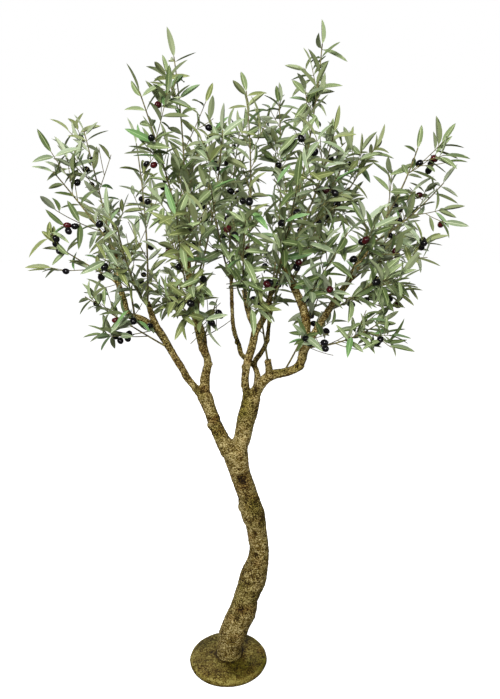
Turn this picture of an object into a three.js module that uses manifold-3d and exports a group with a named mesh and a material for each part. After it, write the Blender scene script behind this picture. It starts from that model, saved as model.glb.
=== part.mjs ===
// An artificial olive tree, as tall as a person, on a low domed disc. Millimetres, +Z up, with the
// origin at the centre of the disc's underside, on the floor. The front of the tree faces -Y.
//
// The trunk sways and forks into two boughs, the boughs split into limbs, and each limb carries
// sprays: one stem with side twigs, narrow leaves and olives, fused into one solid that keeps to
// its own share of the crown. Wherever one piece grows out of another it stops just short of it.
import * as THREE from 'three';
import { mergeVertices } from 'three/addons/utils/BufferGeometryUtils.js';
import Module from 'manifold-3d';

const wasm = await Module();
wasm.setup();

// Disc base: a flat underside, a rounded rim and a low dome
const BASE_RADIUS = 116;
const BASE_RIM_HEIGHT = 18;
const BASE_RIM_ROUNDING = 4;
const BASE_HEIGHT = 27;
const BASE_SHOULDER_RADIUS = 94;
const BASE_SHOULDER_HEIGHT = 23;
const BASE_SIDES = 28;

// Woody tubes. A piece that grows out of another stops a seat gap short of it.
const SEAT_GAP = 0.3;
const TRUNK_SIDES = 12;
const TRUNK_RING_STEP = 38;
const LIMB_SIDES = 7;
const LIMB_RING_STEP = 40;
const BARK_KNOBS = 0.09;

// Sprays. Shares are of the stem's length, and angles are in degrees.
const STEM_RADIUS = 3.6;
const STEM_TIP_RADIUS = 1.7;
const STEM_PARTS = 4;
const STEM_SAG = 0.08;
const STEM_SWAY = 0.05;
const TIP_LEAF_REACH = 68;
const TWIG_SIDES = 3;
const TWIG_SHARES = [0.28, 0.88];
const TWIG_STEP = 112;
const TWIG_THINNING = 0.6;
const TWIG_TIP_RADIUS = 1.2;
const TWIG_LENGTH = [95, 165];
const TWIG_SHORTENING = [1.1, 0.65];
const TWIG_ANGLE = [32, 54];
const TWIG_LIFT = 0.2;
const RETRY_SHORTENING = 0.12;
const SPACE_MARGIN = 3;
const LIMB_MARGIN = 2;

// Leaves. Widths and curls are shares of a leaf's length.
const LEAF_LENGTH = [74, 92];
const LEAF_WIDTH = 0.24;
const LEAF_WIDEST = 0.42;
const LEAF_CURL = 0.05;
const LEAF_THICKNESS = 1.6;
const LEAF_ROOT_THICKNESS = 1;
const LEAF_SINK = 0.3;
const LEAF_ROLL = [-0.7, 0.7];
const LEAF_ANGLE = [26, 58];
const LEAF_NARROWINGS = [1, 0.6, 0.3];
const LEAF_STEP = 92;
const STEM_BARE_SHARE = 0.24;
const TWIG_BARE_LENGTH = 37;
const LEAF_CLEARANCE = 12;
const TWIG_CLEARANCE = 4;
const MIDRIB_SHARES = [0.3, 0.53, 0.76, 1];
const END_LEAF_ANGLE = [4, 14];
const END_LEAF_DEPTH = 3;
const END_PAIR_STEP = 12;
const END_PAIR_CLEARANCE = 28;

// Olives
const OLIVE_LENGTH = 21;
const OLIVE_WIDTH = 18;
const OLIVE_STALK = 15;
const OLIVE_STALK_RADIUS = 1.1;
const OLIVE_SHARES = [0.35, 0.9];
const OLIVE_HANG = [-1.2, 0.3];
const OLIVE_TRIES = 6;
const OLIVES_PER_SPRAY = [1, 1, 0];

const UP = new THREE.Vector3(0, 0, 1);
const BACK = new THREE.Vector3(0, 1, 0);
const FACE_TURN = (2 * Math.PI) / TWIG_SIDES;
const UPRIGHT = 0.8;

const BARK_COLOUR = 0x7d6b35;
const BASE_COLOUR = 0x75652f;
const LEAF_COLOURS = [0x6f8a58, 0x7c9468, 0x61804d, 0x86a074];

// Each limb grows from the one named as its parent, and its route is a few places that it passes,
// as x, y, z and its radius there.
const LIMBS = [
  {
    name: 'trunk',
    route: [
      [3, 0, 18, 37], [4, -2, 55, 36], [14, -3, 93, 41], [27, -2, 130, 39], [44, 0, 168, 40.5],
      [53, 2, 210, 35], [68, 4, 250, 38], [78, 5, 286, 39], [88, 6, 322, 30.5], [92, 6, 360, 28],
      [87, 5, 400, 28], [82, 4, 436, 29], [74, 3, 470, 33.5], [65, 2, 500, 31.5], [59, 1, 530, 28],
      [49, 0, 560, 29], [38, -1, 592, 28], [30, -1, 626, 31.5], [23, 0, 658, 35.5],
      [17, 0, 688, 27],
    ],
  },
  {
    name: 'left_bough',
    route: [
      [8, 0, 656, 24], [-18, 3, 706, 20], [-30, 4, 734, 19], [-46, 6, 778, 17.5],
      [-62, 8, 822, 21],
    ],
  },
  {
    name: 'right_bough',
    route: [
      [24, 0, 655, 27], [43, -1, 700, 23.5], [50, -2, 736, 24.5], [60, -4, 775, 26],
      [70, -4, 824, 25],
    ],
  },
  {
    name: 'left_outer_limb',
    route: [
      [-58, 8, 810, 15], [-84, 5, 841, 10.5], [-107, 1, 871, 10.2], [-121, -2, 898, 9.5],
      [-143, -6, 938, 9.5], [-166, -8, 980, 10.5], [-190, -10, 1020, 10.5],
    ],
  },
  {
    name: 'left_outer_limb_end',
    route: [
      [-184, -10, 1008, 10], [-226, -14, 1038, 10], [-262, -16, 1052, 9],
      [-274, -12, 1096, 8], [-291, -6, 1148, 7], [-293, 0, 1222, 5],
    ],
  },
  { name: 'left_side_limb', route: [[-284, -9, 1130, 6], [-300, -10, 1146, 5.5], [-322, -11, 1158, 5]] },
  { name: 'left_short_limb', route: [[-184, -8, 1008, 9], [-203, 10, 1046, 8.5], [-216, 22, 1082, 7]] },
  {
    name: 'left_inner_limb',
    route: [
      [-62, 8, 812, 16], [-60, 16, 870, 12.5], [-53, 24, 915, 10.5], [-64, 30, 950, 12],
      [-71, 34, 985, 14.5], [-80, 37, 1020, 13], [-94, 40, 1096, 11.5], [-115, 36, 1246, 8],
    ],
  },
  {
    name: 'right_limb',
    route: [
      [68, -4, 806, 18], [90, -8, 853, 15], [120, -15, 882, 13.5], [180, -24, 901, 11.5],
      [206, -26, 920, 12.5],
    ],
  },
  {
    name: 'right_limb_end',
    route: [
      [196, -26, 906, 12], [208, -24, 946, 12.5], [216, -10, 1040, 12], [178, 8, 1136, 10.5],
      [150, 14, 1196, 8.5],
    ],
  },
  {
    name: 'right_outer_limb',
    route: [
      [208, -22, 946, 10], [242, -32, 1012, 9.5], [284, -40, 1084, 9], [334, -36, 1158, 8],
      [389, -30, 1262, 6.5],
    ],
  },
  {
    name: 'inner_limb',
    route: [
      [62, -4, 806, 12], [52, -16, 860, 10.2], [56, -26, 915, 10.5],
      [70, -32, 965, 11], [82, -34, 1022, 10],
    ],
  },
  { name: 'inner_limb_left_end', route: [[81, -34, 1006, 8], [60, -44, 1066, 8], [50, -52, 1122, 6.5]] },
  { name: 'inner_limb_right_end', route: [[81, -34, 1006, 8.5], [104, -30, 1052, 8.5], [128, -20, 1134, 7]] },
  {
    name: 'middle_limb',
    route: [
      [70, 0, 808, 10], [87, 19, 862, 8.5], [76, 27, 902, 7.5], [42, 28, 934, 7],
      [34, 28, 962, 6.5], [18, 26, 1020, 6], [14, 24, 1156, 5],
    ],
  },
  {
    name: 'back_limb',
    route: [
      [75, 6, 808, 9], [85, 42, 868, 7.5], [78, 50, 906, 7], [96, 52, 934, 7], [110, 54, 962, 6.5],
      [118, 55, 1010, 6], [122, 56, 1094, 5.5],
    ],
  },
  { name: 'sawn_limb', route: [[116, -14, 884, 10], [116, -26, 908, 9.5], [112, -34, 930, 9.5]] },
];

// Each spray's stem leaves its limb at a share of the limb's length, and its last leaf ends at a tip.
const SPRAYS = [
  { name: 'foliage_left_shoulder', limb: 'left_outer_limb_end', at: 0.99, tip: [-462, -90, 1470] },
  { name: 'foliage_left_crest', limb: 'left_outer_limb_end', at: 0.86, tip: [-404, 110, 1606] },
  { name: 'foliage_far_left', limb: 'left_side_limb', at: 0.98, tip: [-482, -40, 1260] },
  { name: 'foliage_low_left', limb: 'left_outer_limb', at: 0.74, tip: [-422, -60, 1140] },
  { name: 'foliage_low_left_hanging', limb: 'left_outer_limb', at: 0.9, tip: [-296, -140, 1092] },
  { name: 'foliage_left_heart', limb: 'left_short_limb', at: 0.98, tip: [-248, 90, 1574] },
  { name: 'foliage_top_left', limb: 'left_inner_limb', at: 0.99, tip: [-132, 20, 1778] },
  { name: 'foliage_top_left_front', limb: 'left_inner_limb', at: 0.93, tip: [-210, -140, 1656] },
  { name: 'foliage_top_left_back', limb: 'left_inner_limb', at: 0.89, tip: [-32, 150, 1604] },
  { name: 'foliage_front_crest', limb: 'left_inner_limb', at: 0.86, tip: [16, -190, 1558] },
  { name: 'foliage_top_middle', limb: 'inner_limb_left_end', at: 0.98, tip: [56, 20, 1692] },
  { name: 'foliage_top_right', limb: 'inner_limb_right_end', at: 0.98, tip: [260, 0, 1800] },
  { name: 'foliage_top_right_back', limb: 'back_limb', at: 0.98, tip: [150, 190, 1700] },
  { name: 'foliage_right_crest', limb: 'right_limb_end', at: 0.98, tip: [288, -150, 1562] },
  { name: 'foliage_right_shoulder', limb: 'right_limb_end', at: 0.84, tip: [444, 130, 1544] },
  { name: 'foliage_right_high', limb: 'right_outer_limb', at: 0.99, tip: [508, -80, 1534] },
  { name: 'foliage_far_right', limb: 'right_outer_limb', at: 0.94, tip: [636, 60, 1440] },
  { name: 'foliage_right_side', limb: 'right_outer_limb', at: 0.82, tip: [570, -110, 1268] },
  { name: 'foliage_low_right', limb: 'right_outer_limb', at: 0.56, tip: [526, -60, 1126] },
  { name: 'foliage_low_right_front', limb: 'right_limb_end', at: 0.3, tip: [454, -150, 1072] },
  { name: 'foliage_front_star', limb: 'right_limb_end', at: 0.42, tip: [192, -250, 1024] },
  { name: 'foliage_low_right_back', limb: 'right_limb', at: 0.66, tip: [300, 160, 1164] },
  { name: 'foliage_front_low_middle', limb: 'sawn_limb', at: 0.9, tip: [70, -230, 1224] },
  { name: 'foliage_front_middle', limb: 'middle_limb', at: 0.98, tip: [-32, -270, 1416] },
  { name: 'foliage_front_right_crest', limb: 'inner_limb_right_end', at: 0.84, tip: [180, -290, 1416] },
  { name: 'foliage_front_left', limb: 'left_short_limb', at: 0.8, tip: [-236, -310, 1320] },
  { name: 'foliage_front_left_middle', limb: 'left_inner_limb', at: 0.76, tip: [-94, -360, 1348] },
  { name: 'foliage_front_high_middle', limb: 'inner_limb_left_end', at: 0.8, tip: [56, -380, 1326] },
  { name: 'foliage_front_right', limb: 'right_limb_end', at: 0.62, tip: [292, -350, 1296] },
  { name: 'foliage_front_low_left', limb: 'left_inner_limb', at: 0.5, tip: [0, -230, 1144] },
  { name: 'foliage_front_heart', limb: 'left_inner_limb', at: 0.62, tip: [-36, -270, 1234] },
  { name: 'foliage_front_far_right', limb: 'right_outer_limb', at: 0.44, tip: [408, -240, 1198] },
  { name: 'foliage_front_right_high', limb: 'right_outer_limb', at: 0.62, tip: [364, -250, 1324] },
  { name: 'foliage_back_left', limb: 'left_outer_limb_end', at: 0.3, tip: [-392, 320, 1374] },
  { name: 'foliage_back_left_crest', limb: 'left_inner_limb', at: 0.83, tip: [-108, 370, 1580] },
  { name: 'foliage_back_middle', limb: 'middle_limb', at: 0.91, tip: [34, 390, 1640] },
  { name: 'foliage_back_right', limb: 'right_limb_end', at: 0.76, tip: [380, 370, 1552] },
  { name: 'foliage_back_far_right', limb: 'right_outer_limb', at: 0.68, tip: [580, 300, 1358] },
  { name: 'foliage_back_low_left', limb: 'left_inner_limb', at: 0.72, tip: [-294, 320, 1180] },
  { name: 'foliage_back_low_middle', limb: 'back_limb', at: 0.83, tip: [162, 360, 1268] },
];

/** Numbers from 0 to 1 that repeat for a given seed. */
function seededRandom(seed) {
  let state = (seed * 2654435761) % 4294967296;
  return () => {
    state = (state * 1664525 + 1013904223) % 4294967296;
    return state / 4294967296;
  };
}

/** A value between the two ends of a range. */
function within(range, share) {
  return range[0] + (range[1] - range[0]) * share;
}

/** A unit vector square to a direction, turned around it by an angle. */
function squareTo(direction, angle) {
  const reference = Math.abs(direction.z) < UPRIGHT ? UP : BACK;
  const side = direction.clone().cross(reference).normalize();
  const lift = side.clone().cross(direction);
  return side.multiplyScalar(Math.cos(angle)).addScaledVector(lift, Math.sin(angle));
}

/** A closed solid from a three.js geometry, with its shared vertices merged by position. */
function solidOf(geometry) {
  geometry.deleteAttribute('normal');
  geometry.deleteAttribute('uv');
  const merged = mergeVertices(geometry, 1e-4);
  return new wasm.Manifold(new wasm.Mesh({
    numProp: 3,
    vertProperties: merged.attributes.position.array,
    triVerts: Uint32Array.from(merged.index.array),
  }));
}

/** The three.js geometry of a solid. */
function geometryOf(solid) {
  const { vertProperties, triVerts } = solid.getMesh();
  const geometry = new THREE.BufferGeometry();
  geometry.setAttribute('position', new THREE.BufferAttribute(vertProperties, 3));
  geometry.setIndex(new THREE.BufferAttribute(triVerts, 1));
  geometry.computeVertexNormals();
  return geometry;
}

/** The largest separate piece of a solid. */
function largestPiece(solid) {
  return solid.decompose().reduce((best, piece) => (piece.volume() > best.volume() ? piece : best));
}

/** A geometry from points and triangles. */
function facetedGeometry(points, triangles) {
  const geometry = new THREE.BufferGeometry().setFromPoints(points);
  geometry.setIndex(triangles);
  return geometry;
}

/**
 * A closed tube along an axis, which is a list of places with a radius at each. Every vertex
 * stands out by its own share of the radius, and the whole skin by an extra gap.
 */
function tubeGeometry(axis, sides, knobs = 0, gap = 0) {
  const random = seededRandom(axis.length);
  const directions = axis.map((_, i) => {
    const before = axis[Math.max(i - 1, 0)].place;
    const after = axis[Math.min(i + 1, axis.length - 1)].place;
    return after.clone().sub(before).normalize();
  });
  const points = [];
  const triangles = [];
  const skinGap = gap / Math.cos(Math.PI / sides);
  let side = squareTo(directions[0], 0);
  axis.forEach(({ place, radius }, i) => {
    side = side.addScaledVector(directions[i], -side.dot(directions[i])).normalize();
    const lift = directions[i].clone().cross(side);
    const endGap = (i === 0 ? -gap : 0) + (i === axis.length - 1 ? gap : 0);
    const centre = place.clone().addScaledVector(directions[i], endGap);
    for (let j = 0; j < sides; j++) {
      const angle = (2 * Math.PI * j) / sides;
      const reach = radius * (1 + knobs * (random() - 0.5)) + skinGap;
      points.push(centre.clone()
        .addScaledVector(side, reach * Math.cos(angle))
        .addScaledVector(lift, reach * Math.sin(angle)));
    }
  });
  for (let i = 0; i < axis.length - 1; i++) {
    for (let j = 0; j < sides; j++) {
      const a = i * sides + j;
      const b = i * sides + ((j + 1) % sides);
      triangles.push(a, b, b + sides, a, b + sides, a + sides);
    }
  }
  const last = (axis.length - 1) * sides;
  for (let j = 1; j < sides - 1; j++) {
    triangles.push(0, j + 1, j, last, last + j, last + j + 1);
  }
  return facetedGeometry(points, triangles);
}

/** A limb's axis: steps of about one length along the smooth curve through its route. */
function limbAxis(route, step) {
  const places = route.map(([x, y, z]) => new THREE.Vector3(x, y, z));
  const curve = new THREE.CatmullRomCurve3(places, false, 'catmullrom');
  const length = places.slice(1).reduce((sum, place, i) => sum + place.distanceTo(places[i]), 0);
  const parts = Math.max(3, Math.round(length / step));
  const legs = route.length - 1;
  return Array.from({ length: parts + 1 }, (_, i) => {
    const leg = Math.min(Math.floor((i / parts) * legs), legs - 1);
    const radius = within([route[leg][3], route[leg + 1][3]], (i / parts) * legs - leg);
    return { place: curve.getPoint(i / parts), radius };
  });
}

/** The place at a share of an axis's length. */
function placeAlong(axis, share) {
  const position = share * (axis.length - 1);
  const leg = Math.min(Math.floor(position), axis.length - 2);
  return axis[leg].place.clone().lerp(axis[leg + 1].place, position - leg);
}

/** The radius at a share of an axis's length, where it tapers evenly from end to end. */
function radiusAlong(axis, share) {
  return within([axis[0].radius, axis[axis.length - 1].radius], share);
}

/** The length of an axis. */
function axisLength(axis) {
  return axis.slice(1).reduce((sum, { place }, i) => sum + place.distanceTo(axis[i].place), 0);
}

/** The least distance from a place to an axis, less the share of each radius that counts. */
function leastDistance(axis, place, radiusShare) {
  let least = Infinity;
  for (let i = 0; i < axis.length - 1; i++) {
    const leg = axis[i + 1].place.clone().sub(axis[i].place);
    const share = THREE.MathUtils.clamp(place.clone().sub(axis[i].place).dot(leg) / leg.lengthSq(), 0, 1);
    const centre = axis[i].place.clone().addScaledVector(leg, share);
    const radius = within([axis[i].radius, axis[i + 1].radius], share);
    least = Math.min(least, place.distanceTo(centre) - radiusShare * radius);
  }
  return least;
}

/** How far a place is from an axis. */
function distanceTo(axis, place) {
  return leastDistance(axis, place, 0);
}

/** How far a place is from the skin round an axis. */
function skinDistanceTo(axis, place) {
  return leastDistance(axis, place, 1);
}

/** A stem's axis: it leaves its limb, sags a little on its way out and ends a leaf short of the tip. */
function stemAxis(start, tip, random) {
  const span = tip.clone().sub(start);
  const end = tip.clone().addScaledVector(span.clone().normalize(), -TIP_LEAF_REACH);
  const outward = Math.hypot(span.x, span.y);
  const sway = squareTo(span.clone().normalize(), 2 * Math.PI * random());
  const middle = start.clone().lerp(end, 0.5)
    .addScaledVector(UP, -STEM_SAG * outward)
    .addScaledVector(sway, STEM_SWAY * span.length());
  const curve = new THREE.QuadraticBezierCurve3(start, middle, end);
  return Array.from({ length: STEM_PARTS + 1 }, (_, i) => ({
    place: curve.getPoint(i / STEM_PARTS),
    radius: within([STEM_RADIUS, STEM_TIP_RADIUS], i / STEM_PARTS),
  }));
}

/** A side twig's axis, thinner than the stem that it leaves. */
function twigAxis(root, stemRadius, direction, length) {
  return [
    { place: root, radius: TWIG_THINNING * stemRadius },
    { place: root.clone().addScaledVector(direction, length), radius: TWIG_TIP_RADIUS },
  ];
}

/** The direction of an axis at a share of its length. */
function directionAlong(axis, share) {
  const leg = Math.min(Math.floor(share * (axis.length - 1)), axis.length - 2);
  return axis[leg + 1].place.clone().sub(axis[leg].place).normalize();
}

/** A direction that leaves another by an angle, on the side that a turn around it gives. */
function leaning(direction, angle, turn) {
  const sideways = squareTo(direction, turn);
  return direction.clone().multiplyScalar(Math.cos(angle)).addScaledVector(sideways, Math.sin(angle));
}

/** The places that a leaf reaches: its root, edges, middle and tip. */
function leafPlaces(leaf) {
  const { root, along, face, length } = leaf;
  const across = along.clone().cross(face);
  const widest = root.clone().addScaledVector(along, LEAF_WIDEST * length);
  const halfWidth = 0.5 * LEAF_WIDTH * length;
  return {
    middle: widest.clone().addScaledVector(face, LEAF_THICKNESS),
    left: widest.clone().addScaledVector(across, -halfWidth),
    right: widest.clone().addScaledVector(across, halfWidth),
    tip: root.clone().addScaledVector(along, length).addScaledVector(face, -LEAF_CURL * length),
  };
}

/** A leaf's solid: a lance shape with a raised midrib, and its root sunk through the twig. */
function leafSolid(leaf) {
  const { root, along, face, sink } = leaf;
  const { middle, left, right, tip } = leafPlaces(leaf);
  const rootMiddle = root.clone().addScaledVector(along, -sink);
  const rootLow = rootMiddle.addScaledVector(face, -0.5 * LEAF_ROOT_THICKNESS);
  const rootHigh = rootLow.clone().addScaledVector(face, LEAF_ROOT_THICKNESS);
  return solidOf(facetedGeometry(
    [rootLow, rootHigh, middle, left, right, tip],
    [0, 3, 4, 3, 5, 4, 1, 2, 3, 3, 2, 5, 1, 4, 2, 2, 4, 5, 0, 1, 3, 0, 4, 1],
  ));
}

/** An olive's solid on its stalk. */
function oliveSolid({ root, centre }) {
  const fruit = new THREE.IcosahedronGeometry(OLIVE_WIDTH / 2);
  fruit.scale(1, 1, OLIVE_LENGTH / OLIVE_WIDTH);
  const lean = new THREE.Quaternion().setFromUnitVectors(UP, centre.clone().sub(root).normalize());
  fruit.applyQuaternion(lean);
  fruit.translate(centre.x, centre.y, centre.z);
  const stalk = [root, centre].map((place) => ({ place, radius: OLIVE_STALK_RADIUS }));
  return solidOf(fruit).add(solidOf(tubeGeometry(stalk, TWIG_SIDES)));
}

const limbAxes = new Map(LIMBS.map(({ name, route }) => [
  name,
  limbAxis(route, name === 'trunk' ? TRUNK_RING_STEP : LIMB_RING_STEP),
]));

const sprays = SPRAYS.map(({ name, limb, at, tip }, i) => {
  const start = placeAlong(limbAxes.get(limb), at);
  const stem = stemAxis(start, new THREE.Vector3(...tip), seededRandom(i + 1));
  return { name, seed: i + 1, stem, axes: [stem], olives: [], leaves: [] };
});

/** Whether every place lies in a spray's own share of the crown, clear of the limbs. */
function fits(spray, places, halfWidth) {
  return places.every((place) => {
    const own = distanceTo(spray.stem, place) + SPACE_MARGIN + halfWidth;
    const clearOfSprays = sprays.every(({ stem }) => stem === spray.stem || distanceTo(stem, place) > own);
    const clearance = halfWidth + LIMB_MARGIN;
    return clearOfSprays && [...limbAxes.values()].every((axis) => skinDistanceTo(axis, place) > clearance);
  });
}

/** The turn of one of a twig's flat sides, picked by chance. */
function firstFaceTurn(random) {
  return FACE_TURN * (0.5 + Math.floor(TWIG_SIDES * random()));
}

/** Grows a spray's side twigs, each tried on every flat side of the stem until one has room. */
function growTwigs(spray) {
  const random = seededRandom(100 + spray.seed);
  const stemLength = axisLength(spray.stem);
  let turn = firstFaceTurn(random);
  for (let along = TWIG_SHARES[0] * stemLength; along < TWIG_SHARES[1] * stemLength; along += TWIG_STEP) {
    const share = along / stemLength;
    const heading = directionAlong(spray.stem, share);
    const root = placeAlong(spray.stem, share);
    const reach = within(TWIG_LENGTH, random()) * within(TWIG_SHORTENING, share);
    const angle = THREE.MathUtils.degToRad(within(TWIG_ANGLE, random()));
    for (let attempt = 0; attempt < TWIG_SIDES; attempt++) {
      turn += FACE_TURN;
      const direction = leaning(heading, angle, turn).addScaledVector(UP, TWIG_LIFT).normalize();
      const length = reach * (1 - RETRY_SHORTENING * attempt);
      const twig = twigAxis(root, radiusAlong(spray.stem, share), direction, length);
      if (fits(spray, [0.5, 1].map((part) => placeAlong(twig, part)), STEM_TIP_RADIUS)) {
        spray.axes.push(twig);
        break;
      }
    }
  }
}

/** Hangs a spray's olives from its stem and twigs. */
function growOlives(spray, count) {
  const random = seededRandom(200 + spray.seed);
  for (let attempt = 0; attempt < OLIVE_TRIES * count && spray.olives.length < count; attempt++) {
    const axis = spray.axes[Math.floor(random() * spray.axes.length)];
    const root = placeAlong(axis, within(OLIVE_SHARES, random()));
    const turn = 2 * Math.PI * random();
    const hang = new THREE.Vector3(Math.cos(turn), Math.sin(turn), within(OLIVE_HANG, random())).normalize();
    const centre = root.clone().addScaledVector(hang, OLIVE_STALK);
    if (fits(spray, [centre], OLIVE_LENGTH / 2)) {
      spray.olives.push({ root, centre });
    }
  }
}

/** Places along the middle of a leaf, past its root. */
function midribPlaces({ root, along, length }) {
  return MIDRIB_SHARES.map((share) => root.clone().addScaledVector(along, share * length));
}

/** Whether a leaf lies in its spray's space and passes the spray's olives, twigs and other leaves. */
function hasRoom(spray, leaf, axis) {
  const { left, right, tip } = leafPlaces(leaf);
  const midrib = midribPlaces(leaf);
  const clearOfOlives = spray.olives.every(({ centre }) => (
    [left, right, ...midrib].every((place) => place.distanceTo(centre) > OLIVE_LENGTH / 2 + LEAF_THICKNESS)));
  const clearOfLeaves = spray.leaves.every((other) => (
    midribPlaces(other).every((taken) => midrib.every((place) => place.distanceTo(taken) > LEAF_CLEARANCE))));
  const clearOfTwigs = spray.axes.every((other) => (
    other === axis || midrib.every((place) => distanceTo(other, place) > TWIG_CLEARANCE)));
  return clearOfOlives && clearOfLeaves && clearOfTwigs && fits(spray, [left, right, tip], LEAF_THICKNESS);
}

/** Adds a leaf to a spray, held closer to its twig where the space is narrow, if any has room. */
function growLeaf(spray, axis, share, angle, turn, random) {
  const root = placeAlong(axis, share);
  const heading = directionAlong(axis, share);
  const sink = LEAF_SINK * radiusAlong(axis, share);
  const length = within(LEAF_LENGTH, random());
  const roll = within(LEAF_ROLL, random());
  for (const narrowing of LEAF_NARROWINGS) {
    const along = leaning(heading, angle * narrowing, turn);
    const upperSide = heading.clone().addScaledVector(along, -heading.dot(along)).normalize();
    const face = upperSide.applyAxisAngle(along, roll);
    const leaf = { root, along, face, length, sink };
    if (hasRoom(spray, leaf, axis)) {
      spray.leaves.push(leaf);
      return;
    }
  }
}

/** Grows a spray's leaves: one at each step of the stem and twigs, and three at each end. */
function growLeaves(spray) {
  const random = seededRandom(300 + spray.seed);
  const randomAngle = (range) => THREE.MathUtils.degToRad(within(range, random()));
  for (const axis of spray.axes) {
    const length = axisLength(axis);
    let turn = firstFaceTurn(random);
    growLeaf(spray, axis, 1 - END_LEAF_DEPTH / length, randomAngle(END_LEAF_ANGLE), turn, random);
    for (const side of [1, 2]) {
      const pairTurn = turn + side * FACE_TURN;
      growLeaf(spray, axis, 1 - END_PAIR_STEP / length, randomAngle(LEAF_ANGLE), pairTurn, random);
    }
    const bare = axis === spray.stem ? STEM_BARE_SHARE * length : TWIG_BARE_LENGTH;
    for (let along = bare; along < length - END_PAIR_STEP - END_PAIR_CLEARANCE; along += LEAF_STEP) {
      turn += FACE_TURN;
      growLeaf(spray, axis, along / length, randomAngle(LEAF_ANGLE), turn, random);
    }
  }
}

const tree = new THREE.Group();

/** Adds one named piece of the tree. */
function addPiece(name, solid, colour, roughness) {
  const material = new THREE.MeshStandardMaterial({ color: colour, roughness, metalness: 0 });
  const mesh = new THREE.Mesh(geometryOf(solid), material);
  mesh.name = name;
  tree.add(mesh);
}

/** The disc base, swollen all round by a gap. */
function baseSolid(gap) {
  const profile = [
    new THREE.Vector2(0, -gap),
    new THREE.Vector2(BASE_RADIUS - BASE_RIM_ROUNDING + gap, -gap),
    new THREE.Vector2(BASE_RADIUS + gap, BASE_RIM_HEIGHT / 2),
    new THREE.Vector2(BASE_RADIUS - BASE_RIM_ROUNDING + gap, BASE_RIM_HEIGHT + gap),
    new THREE.Vector2(BASE_SHOULDER_RADIUS, BASE_SHOULDER_HEIGHT + gap),
    new THREE.Vector2(0, BASE_HEIGHT + gap),
  ];
  const lathe = new THREE.LatheGeometry(profile, BASE_SIDES);
  lathe.rotateX(Math.PI / 2);
  return solidOf(lathe);
}

addPiece('base_disc', baseSolid(0), BASE_COLOUR, 0.85);

const seats = [baseSolid(SEAT_GAP)];
for (const { name } of LIMBS) {
  const axis = limbAxes.get(name);
  const sides = name === 'trunk' ? TRUNK_SIDES : LIMB_SIDES;
  const whole = solidOf(tubeGeometry(axis, sides, BARK_KNOBS));
  const seated = seats.reduce((solid, seat) => solid.subtract(seat), whole);
  addPiece(name, largestPiece(seated), BARK_COLOUR, 0.8);
  seats.push(solidOf(tubeGeometry(axis, sides, BARK_KNOBS, SEAT_GAP)));
}

sprays.forEach((spray, i) => {
  growTwigs(spray);
  growOlives(spray, OLIVES_PER_SPRAY[i % OLIVES_PER_SPRAY.length]);
  growLeaves(spray);
  const pieces = [
    ...spray.axes.map((axis) => solidOf(tubeGeometry(axis, TWIG_SIDES))),
    ...spray.olives.map(oliveSolid),
    ...spray.leaves.map(leafSolid),
  ];
  const whole = pieces.reduce((solid, piece) => solid.add(piece));
  const seated = seats.reduce((solid, seat) => solid.subtract(seat), whole);
  addPiece(spray.name, largestPiece(seated), LEAF_COLOURS[i % LEAF_COLOURS.length], 0.6);
});

export default tree;
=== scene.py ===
"""Looks of an artificial olive tree on a domed disc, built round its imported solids.

The trunk and limbs get one continuous bark mesh, the disc gets its coated surface, and every
spray of foliage grows again by the part's own rule, carried on to finer twigs with full leafage.
The growth rule works in millimetres, as the part's source does; meshes are made in metres.
"""

import logging
import math
from collections.abc import Callable, Iterable, Sequence
from dataclasses import dataclass, field
from enum import Enum

import bmesh
import bpy
import numpy as np
from mathutils import Matrix, Vector, noise


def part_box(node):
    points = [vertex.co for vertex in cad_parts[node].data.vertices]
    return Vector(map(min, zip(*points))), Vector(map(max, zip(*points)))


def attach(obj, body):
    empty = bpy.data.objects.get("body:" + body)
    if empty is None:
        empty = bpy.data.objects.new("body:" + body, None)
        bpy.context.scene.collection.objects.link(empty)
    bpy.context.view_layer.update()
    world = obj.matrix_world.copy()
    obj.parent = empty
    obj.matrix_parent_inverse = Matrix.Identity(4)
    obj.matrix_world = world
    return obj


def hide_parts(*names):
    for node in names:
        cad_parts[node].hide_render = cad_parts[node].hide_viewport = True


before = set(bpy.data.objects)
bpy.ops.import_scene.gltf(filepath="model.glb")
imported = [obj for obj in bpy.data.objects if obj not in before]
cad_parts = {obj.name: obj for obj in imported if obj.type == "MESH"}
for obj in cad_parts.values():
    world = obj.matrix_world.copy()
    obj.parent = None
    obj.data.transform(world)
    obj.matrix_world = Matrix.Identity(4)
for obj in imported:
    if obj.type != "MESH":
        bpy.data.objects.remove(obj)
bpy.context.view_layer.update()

LOG = logging.getLogger("olive_tree")

MM = 0.001
UP = np.array([0.0, 0.0, 1.0])
BACK = np.array([0.0, 1.0, 0.0])
UPRIGHT = 0.8
ROOT_BODY = "root"
SMOOTHING_FACTOR = 0.5
SHARP_ANGLE = 32.0

Range = tuple[float, float]
Colour = tuple[float, float, float, float]


def within(ends: Range, share: float) -> float:
    """A value between the two ends of a range."""
    return ends[0] + (ends[1] - ends[0]) * share


def unit(vector: np.ndarray) -> np.ndarray:
    """The vector at a length of one."""
    return vector / math.sqrt(vector.dot(vector))


def cross(a: np.ndarray, b: np.ndarray) -> np.ndarray:
    """The cross product of two plain vectors.

    Args:
        a: The first vector.
        b: The second vector.

    Returns:
        The vector square to both.
    """
    return np.array([
        a[1] * b[2] - a[2] * b[1],
        a[2] * b[0] - a[0] * b[2],
        a[0] * b[1] - a[1] * b[0],
    ])


def square_to(direction: np.ndarray, angle: float) -> np.ndarray:
    """A unit vector square to a direction.

    Args:
        direction: The unit vector that it is square to.
        angle: How far it is turned around the direction.

    Returns:
        The vector.
    """
    reference = UP if abs(direction[2]) < UPRIGHT else BACK
    side = unit(cross(direction, reference))
    return side * math.cos(angle) + cross(side, direction) * math.sin(angle)


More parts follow.
